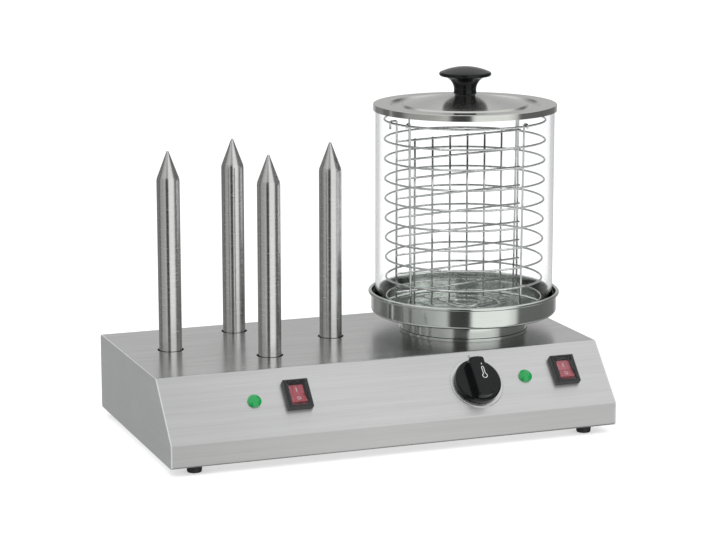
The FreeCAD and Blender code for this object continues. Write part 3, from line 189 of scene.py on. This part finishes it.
def brushed_steel(name, colour, streaks, rough=(0.26, 0.40), tone=0.10, anisotropy=0.6, metallic=1.0):
    """Sheet steel brushed in one direction, with fine streaks in tone, gloss and relief."""
    material, nodes = new_material(name)
    fine = nodes.noise(stretched(nodes, streaks), 1.0, 4.0, 0.65)
    coarse = nodes.noise(stretched(nodes, tuple(0.12 * value for value in streaks)), 1.0, 2.0)
    cloud = nodes.noise(position(nodes), 9.0, 2.0)
    blend = nodes.math("ADD", nodes.math("MULTIPLY", fine, 0.6), nodes.math("MULTIPLY", coarse, 0.4))
    dark = tuple(value * (1 - tone) for value in colour)
    light = tuple(min(1.0, value * (1 + tone)) for value in colour)
    shade = nodes.mix(nodes.spread(blend, 0.0, 1.0, 0.3, 0.7), (*dark, 1), (*light, 1))
    shade = nodes.mix(nodes.spread(cloud, 0.0, 0.10, 0.35, 0.65), shade, (0.45, 0.45, 0.46, 1))
    surface(
        nodes,
        Base_Color=shade,
        Metallic=metallic,
        Roughness=nodes.spread(blend, *rough, 0.3, 0.7),
        Anisotropic=anisotropy,
        Anisotropic_Rotation=0.25,
        Normal=nodes.bump(fine, 0.10, 0.0002),
        Tangent=nodes.add("ShaderNodeCombineXYZ", {"X": 1.0}).outputs[0],
    )
    return material


def turned_metal(name, colour, centre, rough=(0.13, 0.24), tone=0.06, anisotropy=0.6, lines=2600.0):
    """Metal finished on a lathe: fine lines run round an upright axis; faces turned downwards carry painted
    shade.
    """
    material, nodes = new_material(name)
    angle, radius, height = round_about(nodes, centre)
    groove = nodes.add("ShaderNodeCombineXYZ", {
        "X": nodes.math("MULTIPLY", angle, 1.3),
        "Y": nodes.math("MULTIPLY", radius, lines),
        "Z": nodes.math("MULTIPLY", height, lines),
    }).outputs[0]
    fine = nodes.noise(groove, 1.0, 3.0, 0.6)
    cloud = nodes.noise(position(nodes), 22.0, 2.0)
    dark = tuple(value * (1 - tone) for value in colour)
    light = tuple(min(1.0, value * (1 + tone)) for value in colour)
    shade = nodes.mix(nodes.spread(fine, 0.0, 1.0, 0.3, 0.7), (*dark, 1), (*light, 1))
    shade = nodes.mix(nodes.spread(cloud, 0.0, 0.08, 0.35, 0.65), shade, (0.42, 0.42, 0.40, 1))
    # Painted shade: faces turned downwards are darkened towards near black.
    normal = nodes.add("ShaderNodeNewGeometry").outputs["Normal"]
    upward = nodes.add("ShaderNodeSeparateXYZ", {0: normal}).outputs[2]
    shade = nodes.mix(nodes.spread(upward, 1.0, 0.0, -0.9, -0.4), shade, (0.10, 0.11, 0.11, 1))
    surface(
        nodes,
        Base_Color=shade,
        Metallic=1.0,
        Roughness=nodes.spread(fine, *rough, 0.3, 0.7),
        Anisotropic=anisotropy,
        Anisotropic_Rotation=0.25,
        Normal=nodes.bump(fine, 0.08, 0.0001),
        Tangent=nodes.add("ShaderNodeTangent", direction_type="RADIAL", axis="Z").outputs[0],
    )
    return material


def housing_steel():
    """Brushed along the slope and the lip; the top is smoother, so it mirrors what stands on it. The slope
    and the lip carry painted shade: darker towards their left end and where they face sideways or down.
    """
    material, nodes = new_material("housing_steel")
    fine = nodes.noise(stretched(nodes, (14.0, 900.0, 900.0)), 1.0, 4.0, 0.65)
    coarse = nodes.noise(stretched(nodes, (4.0, 160.0, 160.0)), 1.0, 3.0)
    cloud = nodes.noise(stretched(nodes, (3.0, 9.0, 9.0)), 1.0, 2.0)
    blend = nodes.math("ADD", nodes.math("MULTIPLY", fine, 0.55), nodes.math("MULTIPLY", coarse, 0.45))
    normal = nodes.add("ShaderNodeNewGeometry").outputs["Normal"]
    upward = nodes.add("ShaderNodeSeparateXYZ", {0: normal}).outputs[2]
    top = nodes.spread(upward, 0.0, 1.0, 0.86, 0.97)
    streak = nodes.spread(blend, 0.0, 1.0, 0.32, 0.68)
    shade = nodes.mix(streak, (0.66, 0.66, 0.655, 1), (0.80, 0.80, 0.795, 1))
    shade = nodes.mix(nodes.spread(cloud, 0.0, 0.16, 0.35, 0.65), shade, (0.52, 0.52, 0.52, 1))
    satin = nodes.spread(blend, 0.30, 0.44, 0.3, 0.7)
    smooth = nodes.spread(blend, 0.20, 0.27, 0.3, 0.7)
    rough = nodes.add("ShaderNodeMix", data_type="FLOAT", inputs={0: top, 2: satin, 3: smooth}).outputs[0]
    relief = nodes.spread(top, 0.12, 0.03)
    # Painted shade on the slope and the lip: darker towards the left end and on faces that turn sideways or
    # down; the top is left as it is.
    along = nodes.add("ShaderNodeSeparateXYZ", {0: position(nodes)}).outputs[0]
    painted_shade_to_left = nodes.spread(along, 0.84, 1.0, -0.25, -0.02)
    painted_shade_by_facing = nodes.ramp(upward, [(0.0, 0.74), (0.5, 0.98), (0.8, 1.0), (0.97, 1.0)])
    painted_shade_on_slope_and_lip = nodes.mix(top, nodes.math("MULTIPLY", painted_shade_to_left, painted_shade_by_facing), (1, 1, 1, 1))
    shade = nodes.mix(1.0, shade, painted_shade_on_slope_and_lip, "MULTIPLY")
    surface(
        nodes,
        Base_Color=shade,
        Metallic=1.0,
        Roughness=rough,
        Anisotropic=0.5,
        Anisotropic_Rotation=0.25,
        Normal=nodes.bump(fine, relief, 0.0002),
        Tangent=nodes.add("ShaderNodeCombineXYZ", {"X": 1.0}).outputs[0],
    )
    return material


def wire_steel():
    """Bright drawn wire with faint lengthwise marks."""
    material, nodes = new_material("chrome_wire")
    marks = nodes.noise(stretched(nodes, (500.0, 500.0, 60.0)), 1.0, 2.0)
    shade = nodes.mix(nodes.spread(marks, 0.0, 1.0, 0.3, 0.7), (0.50, 0.52, 0.51, 1), (0.74, 0.75, 0.74, 1))
    surface(
        nodes,
        Base_Color=shade,
        Metallic=1.0,
        Roughness=nodes.spread(marks, 0.05, 0.11, 0.3, 0.7),
        Normal=nodes.bump(marks, 0.03, 0.0002),
    )
    return material


def plain_metal(name, colour, rough, grain=600.0):
    """Cast, plated or drawn metal with a fine grain."""
    material, nodes = new_material(name)
    grains = nodes.noise(position(nodes), grain, 3.0)
    dark = tuple(value * 0.85 for value in colour)
    light = tuple(min(1.0, value * 1.12) for value in colour)
    surface(
        nodes,
        Base_Color=nodes.mix(grains, (*dark, 1), (*light, 1)),
        Metallic=1.0,
        Roughness=nodes.spread(grains, rough * 0.8, rough * 1.2, 0.3, 0.7),
        Normal=nodes.bump(grains, 0.15, 0.0002),
    )
    return material


# Plastics, rubber and glass

def moulded(name, colour, rough, grain=900.0, relief=0.04, shine=0.5, variation=0.15):
    """Moulded plastic or rubber with a fine skin."""
    material, nodes = new_material(name)
    grains = nodes.noise(position(nodes), grain, 2.0)
    cloud = nodes.noise(position(nodes), 60.0, 2.0)
    dark = tuple(value * (1 - variation) for value in colour)
    light = tuple(min(1.0, value * (1 + variation) + 0.002) for value in colour)
    surface(
        nodes,
        Base_Color=nodes.mix(cloud, (*dark, 1), (*light, 1)),
        Roughness=nodes.spread(grains, rough * 0.85, rough * 1.15, 0.3, 0.7),
        Specular_IOR_Level=shine,
        Normal=nodes.bump(grains, relief, 0.0002),
    )
    return material


def clear(name, tint, rough, ior):
    """Clear glass or plastic, faintly tinted, with a trace of wiping marks."""
    material, nodes = new_material(name)
    marks = nodes.noise(stretched(nodes, (30.0, 30.0, 6.0)), 1.0, 3.0)
    light = tuple(min(1.0, value * 1.01) for value in tint)
    surface(
        nodes,
        Base_Color=nodes.mix(marks, (*tint, 1), (*light, 1)),
        Roughness=nodes.spread(marks, rough, rough + 0.01),
        Transmission_Weight=1.0,
        IOR=ior,
    )
    return material


def lamp_green():
    """Translucent green moulding with a fine speckle of lighter and darker green."""
    material, nodes = new_material("green_lens")
    facets = nodes.noise(position(nodes), 420.0, 2.0)
    shade = nodes.mix(facets, (0.0, 0.25, 0.055, 1), (0.0, 0.42, 0.09, 1))
    surface(
        nodes,
        Base_Color=shade,
        Roughness=nodes.spread(facets, 0.12, 0.22),
        Subsurface_Weight=0.2,
        Subsurface_Radius=(0.001, 0.004, 0.001),
        Subsurface_Scale=0.5,
        Coat_Weight=0.5,
        Coat_Roughness=0.08,
        Normal=nodes.bump(facets, 0.1, 0.0003),
    )
    return material


def rocker_red():
    """Translucent red moulding with lighter red streaks along its ridges, a painted glow of the neon lamp
    inside.
    """
    material, nodes = new_material("red_rocker")
    ridges = nodes.noise(stretched(nodes, (1300.0, 60.0, 60.0)), 1.0, 3.0, 0.7)
    cloud = nodes.noise(position(nodes), 180.0, 2.0)
    # Painted glow: the ridges are coloured lighter red where the lit lamp would shine through.
    painted_glow = nodes.spread(ridges, 0.0, 1.0, 0.3, 0.7)
    shade = nodes.mix(painted_glow, (0.50, 0.015, 0.035, 1), (0.85, 0.16, 0.20, 1))
    surface(
        nodes,
        Base_Color=shade,
        Roughness=nodes.spread(cloud, 0.15, 0.3),
        Subsurface_Weight=0.3,
        Subsurface_Radius=(0.004, 0.001, 0.001),
        Subsurface_Scale=0.5,
        Coat_Weight=0.6,
        Normal=nodes.bump(ridges, 0.25, 0.0003),
    )
    return material


def painted(name, colour, rough=0.5):
    """Printing ink with a slightly uneven edge of tone."""
    material, nodes = new_material(name)
    specks = nodes.noise(position(nodes), 2500.0, 2.0)
    dark = tuple(value * 0.88 for value in colour)
    surface(
        nodes,
        Base_Color=nodes.mix(specks, (*dark, 1), (*colour, 1)),
        Roughness=nodes.spread(specks, rough * 0.9, rough * 1.1),
    )
    return material


# Pieces

def piece(name, shape, material, body, smooth=True):
    """Turns a bmesh into an object that rides on a body."""
    bmesh.ops.recalc_face_normals(shape, faces=shape.faces)
    mesh = bpy.data.meshes.new(name)
    shape.to_mesh(mesh)
    shape.free()
    for face in mesh.polygons:
        face.use_smooth = smooth
    mesh.materials.append(material)
    made = bpy.data.objects.new(name, mesh)
    SCENE.collection.objects.link(made)
    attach(made, body)
    return made


def add_ring(shape, centre, radius, thickness, steps=160, sides=14):
    """A closed ring of round wire about an upright axis."""
    rows = []
    for i in range(steps):
        turn = 2 * math.pi * i / steps
        out = Vector((math.cos(turn), math.sin(turn), 0))
        row = []
        for k in range(sides):
            tilt = 2 * math.pi * k / sides
            offset = out * (radius + thickness * math.cos(tilt)) + Vector((0, 0, thickness * math.sin(tilt)))
            row.append(shape.verts.new(centre + offset))
        rows.append(row)
    for row, after in zip(rows, rows[1:] + rows[:1]):
        for k in range(sides):
            shape.faces.new((row[k], after[k], after[(k + 1) % sides], row[(k + 1) % sides]))


def add_blob(shape, centre, size):
    """A small bead of weld."""
    made = bmesh.ops.create_uvsphere(shape, u_segments=12, v_segments=8, radius=1.0)
    bmesh.ops.scale(shape, vec=size, verts=made["verts"])
    bmesh.ops.translate(shape, vec=centre, verts=made["verts"])


def add_strip(shape, points, width, frame_at, thickness):
    """A flat raised line along points given on a plane; frame_at turns (x, y, z) into space."""
    count = len(points)
    closed = (points[0] - points[-1]).length < 1e-9
    sides = []
    for i, point in enumerate(points):
        before = points[(i - 1) % (count - 1)] if closed else points[max(i - 1, 0)]
        after = points[(i + 1) % (count - 1)] if closed else points[min(i + 1, count - 1)]
        along = (after - before).normalized()
        across = Vector((-along.y, along.x)) * width / 2
        sides.append((point + across, point - across))
    rows = []
    for left, right in sides:
        rows.append([
            shape.verts.new(frame_at(left.x, left.y, 0.0)),
            shape.verts.new(frame_at(left.x, left.y, thickness)),
            shape.verts.new(frame_at(right.x, right.y, thickness)),
            shape.verts.new(frame_at(right.x, right.y, 0.0)),
        ])
    for row, after in zip(rows, rows[1:]):
        for k in range(4):
            shape.faces.new((row[k], row[(k + 1) % 4], after[(k + 1) % 4], after[k]))
    if not closed:
        shape.faces.new(rows[0])
        shape.faces.new(rows[-1])


def arc(centre, radius_x, radius_y, start, end, steps=20):
    """Points of an arc in degrees on a plane."""
    points = []
    for i in range(steps + 1):
        turn = math.radians(start + (end - start) * i / steps)
        points.append(Vector((centre[0] + radius_x * math.cos(turn), centre[1] + radius_y * math.sin(turn))))
    return points


# Wire basket

WIRE = 0.00115
INSET = 0.0024
DIVIDER_OFFSET = 0.011
DIVIDER_RAIL_OFFSET = 0.0133
DIVIDER_RODS = 8
DIVIDER_RAILS = 9
RAIL_PITCH = 0.021
RAIL_DROP = 0.020
FLOOR_RING_RADII = (0.062, 0.040, 0.018)
RING_NAMES = [f"basket_ring_{i:02d}" for i in range(1, 11)]
UPRIGHT_TURNS = (24.0, 114.0, 204.0, 294.0)


def toward(degrees):
    return Vector((math.cos(math.radians(degrees)), math.sin(math.radians(degrees)), 0.0))


def ring_radius(name):
    low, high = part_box(name)
    return (high.x - low.x) / 2 - WIRE


def add_wire(shape, points, across, thickness=WIRE, sides=12):
    """A round wire along points that lie in one plane; across is that plane's normal."""
    rows = []
    for i, point in enumerate(points):
        along = (points[min(i + 1, len(points) - 1)] - points[max(i - 1, 0)]).normalized()
        level = along.cross(across)
        row = []
        for k in range(sides):
            tilt = 2 * math.pi * k / sides
            offset = (across * math.cos(tilt) + level * math.sin(tilt)) * thickness
            row.append(shape.verts.new(point + offset))
        rows.append(row)
    for row, after in zip(rows, rows[1:]):
        for k in range(sides):
            shape.faces.new((row[k], after[k], after[(k + 1) % sides], row[(k + 1) % sides]))
    shape.faces.new(rows[0])
    shape.faces.new(rows[-1])


def rounded(corners, radius, steps=8):
    """Points of a bent path whose inner corners are rounded."""
    points = [corners[0]]
    for before, corner, after in zip(corners, corners[1:], corners[2:]):
        start = corner + (before - corner).normalized() * radius
        end = corner + (after - corner).normalized() * radius
        for i in range(steps + 1):
            t = i / steps
            points.append(start * (1 - t) ** 2 + corner * (2 * t * (1 - t)) + end * t ** 2)
    points.append(corners[-1])
    return points


def make_divider(material):
    """The upright grid across the basket: eight rods and nine rails, the end rods hooked over."""
    low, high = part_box("basket_divider")
    ring_z = middle(RING_NAMES[0]).z
    along = toward(12.5)
    across = toward(102.5)
    base = AXIS_FOOT + across * DIVIDER_OFFSET
    up = Vector((0.0, 0.0, 1.0))
    reach = ring_radius(RING_NAMES[-1]) - WIRE
    span = math.sqrt(reach**2 - DIVIDER_RAIL_OFFSET**2) - WIRE - 0.0004
    hook = math.sqrt(ring_radius(RING_NAMES[0]) ** 2 - DIVIDER_OFFSET**2) + INSET
    rail_z = ring_z - RAIL_DROP
    shape = bmesh.new()
    places = [span * (2 * i / (DIVIDER_RODS - 1) - 1) for i in range(DIVIDER_RODS)]
    for place in places[1:-1]:
        foot = base + along * place
        add_wire(shape, [foot + up * low.z, foot + up * (rail_z + WIRE)], along)
    for i in range(DIVIDER_RAILS):
        rail = base - across * INSET + up * (rail_z - RAIL_PITCH * i)
        add_wire(shape, [rail - along * (span + WIRE), rail + along * (span + WIRE)], up)
        for place in places:
            bead = rail + across * INSET / 2 + along * place
            add_blob(shape, bead, Vector((0.0012, 0.0012, 0.0011)))
    for side in (-1, 1):
        corners = [
            base + along * side * span + up * low.z,
            base + along * side * span + up * (high.z - WIRE),
            base + along * side * hook + up * (high.z - WIRE),
            base + along * side * hook + up * (ring_z - 0.006),
        ]
        add_wire(shape, rounded(corners, 0.0024), across)
    divider = piece("divider_grid", shape, material, "basket")
    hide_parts("basket_divider")


def make_basket_rings(material):
    """Smooth rings of wire with a bead of weld where each crosses an upright."""
    shape = bmesh.new()
    for name in RING_NAMES:
        centre = middle(name)
        radius = ring_radius(name)
        add_ring(shape, centre, radius, WIRE)
        for turn in UPRIGHT_TURNS:
            add_blob(shape, centre + toward(turn) * (radius - INSET / 2), Vector((0.0013, 0.0013, 0.0011)))
    rings = piece("basket_rings", shape, material, "basket")
    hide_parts(*RING_NAMES)


def make_floor_rings(material):
    """Three rings under the sausages, with a bead of weld at each upright's turn."""
    shape = bmesh.new()
    centre = middle("basket_floor_rings")
    for radius in FLOOR_RING_RADII:
        add_ring(shape, centre, radius, WIRE, 96, 12)
        for turn in UPRIGHT_TURNS:
            bead = centre + toward(turn) * radius - Vector((0.0, 0.0, 0.0011))
            add_blob(shape, bead, Vector((0.0012, 0.0012, 0.0009)))
    rings = piece("basket_floor", shape, material, "basket")
    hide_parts("basket_floor_rings")


def make_panel_zero(material):
    """The figure nought printed above the dial."""
    shape = bmesh.new()
    points = arc((0.0, 0.0), 0.00105, 0.0015, 0, 360)
    add_strip(shape, points, 0.0005, lambda x, y, z: on_panel(DIAL_X + 0.0004 + x, 0.0717 + y, z), 0.00006)
    piece("dial_nought", shape, material, "housing", smooth=False)


def make_dial_symbol(material):
    """A small thermometer outline with a dash above it, printed on the dial's bar."""
    top = 0.01872

    def at(x, y, z):
        return on_panel(DIAL_X + 0.0034 + x, DIAL_RISE + 0.0035 + y, top + z)

    shape = bmesh.new()
    bulb = arc((0.0, -0.0048), 0.0026, 0.0026, 115, 425, 24)
    stem = arc((0.0, 0.0052), 0.0011, 0.0011, 0, 180, 10)
    outline = stem + bulb
    outline.append(outline[0].copy())
    add_strip(shape, outline, 0.0007, at, 0.00006)
    add_strip(shape, [Vector((0.0, 0.0088)), Vector((0.0, 0.0106))], 0.0008, at, 0.00006)
    piece("dial_thermometer", shape, material, "dial", smooth=False)


def make_rocker_marks(material):
    """A bar and a ring moulded in the two halves of each rocker."""
    tilt = math.radians(20.0)
    for side in ("left", "right"):
        x = middle(f"switch_{side}_frame").x

        def upper(u, v, w):
            return on_panel(x + u, SWITCH_RISE + 0.0055 + v, 0.0025 + w)

        def lower(u, v, w):
            along = 0.0055 - v
            y = -along * math.cos(tilt) - w * math.sin(tilt)
            z = 0.0025 + along * math.sin(tilt) + w * math.cos(tilt)
            return on_panel(x + u, SWITCH_RISE + y, z)

        shape = bmesh.new()
        add_strip(shape, [Vector((0.0, -0.0022)), Vector((0.0, 0.0022))], 0.0009, upper, 0.00008)
        add_strip(shape, arc((0.0, 0.0), 0.0017, 0.0021, 0, 360), 0.0008, lower, 0.00008)
        piece(f"rocker_marks_{side}", shape, material, f"{side}_rocker", smooth=False)


# Light and background

def seen_rays(nodes):
    """One for what the camera sees, directly or through glass; one for what metal mirrors."""
    path = nodes.add("ShaderNodeLightPath").outputs
    bounced = nodes.math("GREATER_THAN", path["Diffuse Depth"], 0.5)
    mirror = nodes.math("GREATER_THAN", path["Glossy Depth"], 0.5)
    either = nodes.math("MAXIMUM", bounced, mirror)
    straight = nodes.math("MULTIPLY", path["Is Transmission Ray"], nodes.math("SUBTRACT", 1.0, either))
    shown = nodes.math("MAXIMUM", path["Is Camera Ray"], straight)
    return shown, nodes.math("MULTIPLY", mirror, nodes.math("SUBTRACT", 1.0, bounced))


def make_floor():
    """A wide white floor that keeps the shadow and shows white to the camera."""
    shape = bmesh.new()
    bmesh.ops.create_grid(shape, x_segments=1, y_segments=1, size=12.0)
    mesh = bpy.data.meshes.new("floor")
    shape.to_mesh(mesh)
    shape.free()
    floor = bpy.data.objects.new("floor", mesh)
    SCENE.collection.objects.link(floor)
    material, nodes = new_material("floor_white")
    seen = seen_rays(nodes)[0]
    diffuse = nodes.add("ShaderNodeBsdfDiffuse", {"Color": (0.80, 0.80, 0.80, 1)})
    painted_glow = nodes.add("ShaderNodeEmission", {"Strength": nodes.math("MULTIPLY", seen, 0.42)})
    both = nodes.add("ShaderNodeAddShader", {0: diffuse.outputs[0], 1: painted_glow.outputs[0]})
    nodes.add("ShaderNodeOutputMaterial", {"Surface": both.outputs[0]})
    mesh.materials.append(material)
    floor.visible_glossy = False


def make_world():
    """White to the camera; soft boxes and darker gaps between them in what metal mirrors."""
    world = bpy.data.worlds.new("studio")
    world.use_nodes = True
    SCENE.world = world
    nodes = Nodes(world.node_tree)
    shown, mirror = seen_rays(nodes)
    outward = nodes.add("ShaderNodeTexCoord").outputs["Generated"]
    x, y, z = nodes.add("ShaderNodeSeparateXYZ", {0: outward}).outputs
    turn = nodes.math("ARCTAN2", y, x)
    round_the_room = nodes.spread(turn, 0.0, 1.0, -math.pi, math.pi)
    stops = [
        (-180, 0.42), (-152, 0.46), (-134, 0.62), (-129, 0.07), (-106, 0.05), (-101, 1.0), (-58, 1.0),
        (-46, 0.75), (-40, 0.16), (0, 0.15), (35, 0.20), (52, 0.50), (88, 0.54), (100, 0.24), (116, 0.28),
        (128, 0.16), (138, 0.16), (141, 0.55), (145, 0.16), (160, 0.14), (172, 0.40),
    ]
    around = nodes.ramp(round_the_room, [((angle + 180) / 360, level) for angle, level in stops])
    above = nodes.add("ShaderNodeMapRange", {"Value": z, "From Min": 0.38, "From Max": 0.72},
                      interpolation_type="SMOOTHSTEP").outputs["Result"]
    mirrored = nodes.mix(above, around, (0.86, 0.86, 0.87, 1))
    light = nodes.mix(mirror, (0.88, 0.88, 0.89, 1), mirrored)
    colour = nodes.mix(shown, light, (1, 1, 1, 1))
    back = nodes.add("ShaderNodeBackground", {"Color": colour, "Strength": 1.0})
    nodes.add("ShaderNodeOutputWorld", {"Surface": back.outputs[0]})


def make_lamp(name, place, target, size, power):
    """A square soft lamp turned towards a point."""
    data = bpy.data.lights.new(name, "AREA")
    data.size = size
    data.energy = power
    lamp = bpy.data.objects.new(name, data)
    lamp.location = place
    lamp.rotation_euler = (Vector(target) - Vector(place)).to_track_quat("-Z", "Y").to_euler()
    lamp.visible_glossy = False
    SCENE.collection.objects.link(lamp)


# Putting it together

def dress():
    """Gives every node its material and adds the pieces made here."""
    housing = housing_steel()
    side = brushed_steel(
        "side_steel", (0.80, 0.81, 0.805), (900.0, 14.0, 900.0), (0.44, 0.54), 0.05, 0.2, 0.75
    )
    inner = brushed_steel("inner_steel", (0.62, 0.62, 0.62), (14.0, 900.0, 900.0))
    turned = turned_metal("polished_steel", (0.72, 0.76, 0.72), AXIS_FOOT, (0.08, 0.14), 0.05, 0.3)
    lid = turned_metal("lid_steel", (0.69, 0.70, 0.66), AXIS_FOOT, (0.13, 0.21), 0.10, 0.7)
    wire = wire_steel()
    glass = clear("clear_glass", (0.986, 0.990, 0.990), 0.0, 1.18)
    cover = clear("clear_cover", (0.86, 0.88, 0.90), 0.02, 1.30)
    black = moulded("black_gloss", (0.004, 0.005, 0.005), 0.12, 1200.0, 0.02, 0.3)
    dull = moulded("black_matte", (0.016, 0.018, 0.018), 0.38)
    rubber = moulded("black_rubber", (0.018, 0.018, 0.018), 0.6, 500.0, 0.1)
    terminal = moulded("terminal_plastic", (0.72, 0.71, 0.66), 0.45)
    zinc = plain_metal("zinc", (0.62, 0.63, 0.64), 0.32)
    cast = plain_metal("heater_metal", (0.66, 0.66, 0.67), 0.45, 350.0)
    dark_metal = plain_metal("element_metal", (0.30, 0.30, 0.31), 0.42)
    green = lamp_green()
    red = rocker_red()

    chosen = {
        "housing_shell": housing,
        "left_side_panel": side,
        "right_side_panel": side,
        "base_plate": inner,
        "spike_bracket": inner,
        "pan_base_ring": turned,
        "water_pan": turned,
        "dial_ring": plain_metal("ring_metal", (0.72, 0.72, 0.72), 0.30),
        "lid": lid,
        "glass_cylinder": glass,
        "switch_covers": cover,
        "lid_knob": black,
        "thermostat_knob": black,
        "heater_plate": cast,
        "spike_heater_cores": cast,
        "heater_element": dark_metal,
        "thermostat_bulb": dark_metal,
        "terminal_block": terminal,
        "pilot_lamp_left": green,
        "pilot_lamp_right": green,
        "switch_left_rocker": red,
        "switch_right_rocker": red,
    }
    for name in NODES:
        if name.startswith("heating_spike"):
            spike = middle(name)
            place = Vector((spike.x, spike.y, 0.0))
            chosen[name] = turned_metal(f"{name}_steel", (0.70, 0.70, 0.69), place, (0.16, 0.28), 0.08, 0.5)
        elif name.startswith("foot_"):
            chosen[name] = rubber
        elif name.startswith("basket_"):
            chosen[name] = wire
        elif name in ("switch_left_frame", "switch_right_frame", "cord_gland", "gland_nut",
                      "thermostat_body", "pilot_lamp_sockets"):
            chosen[name] = dull
    for name, node in NODES.items():
        material = chosen.get(name, zinc)
        slots = node.data.materials
        if not slots:
            slots.append(material)
        for i in range(len(slots)):
            slots[i] = material

    make_basket_rings(wire)
    make_floor_rings(wire)
    make_divider(wire)
    make_panel_zero(painted("printed_black", (0.02, 0.02, 0.02)))
    make_dial_symbol(painted("printed_white", (0.85, 0.86, 0.86)))
    make_rocker_marks(painted("moulded_mark", (0.90, 0.80, 0.80)))


make_camera()
make_floor()
make_world()
make_lamp("key", (-1.2, -1.4, 2.2), (0.0, 0.0, 0.1), 1.6, 14.0)
make_lamp("fill", (1.6, -1.2, 1.6), (0.0, 0.0, 0.1), 1.8, 8.0)
dress()
SCENE.view_settings.view_transform = "Standard"
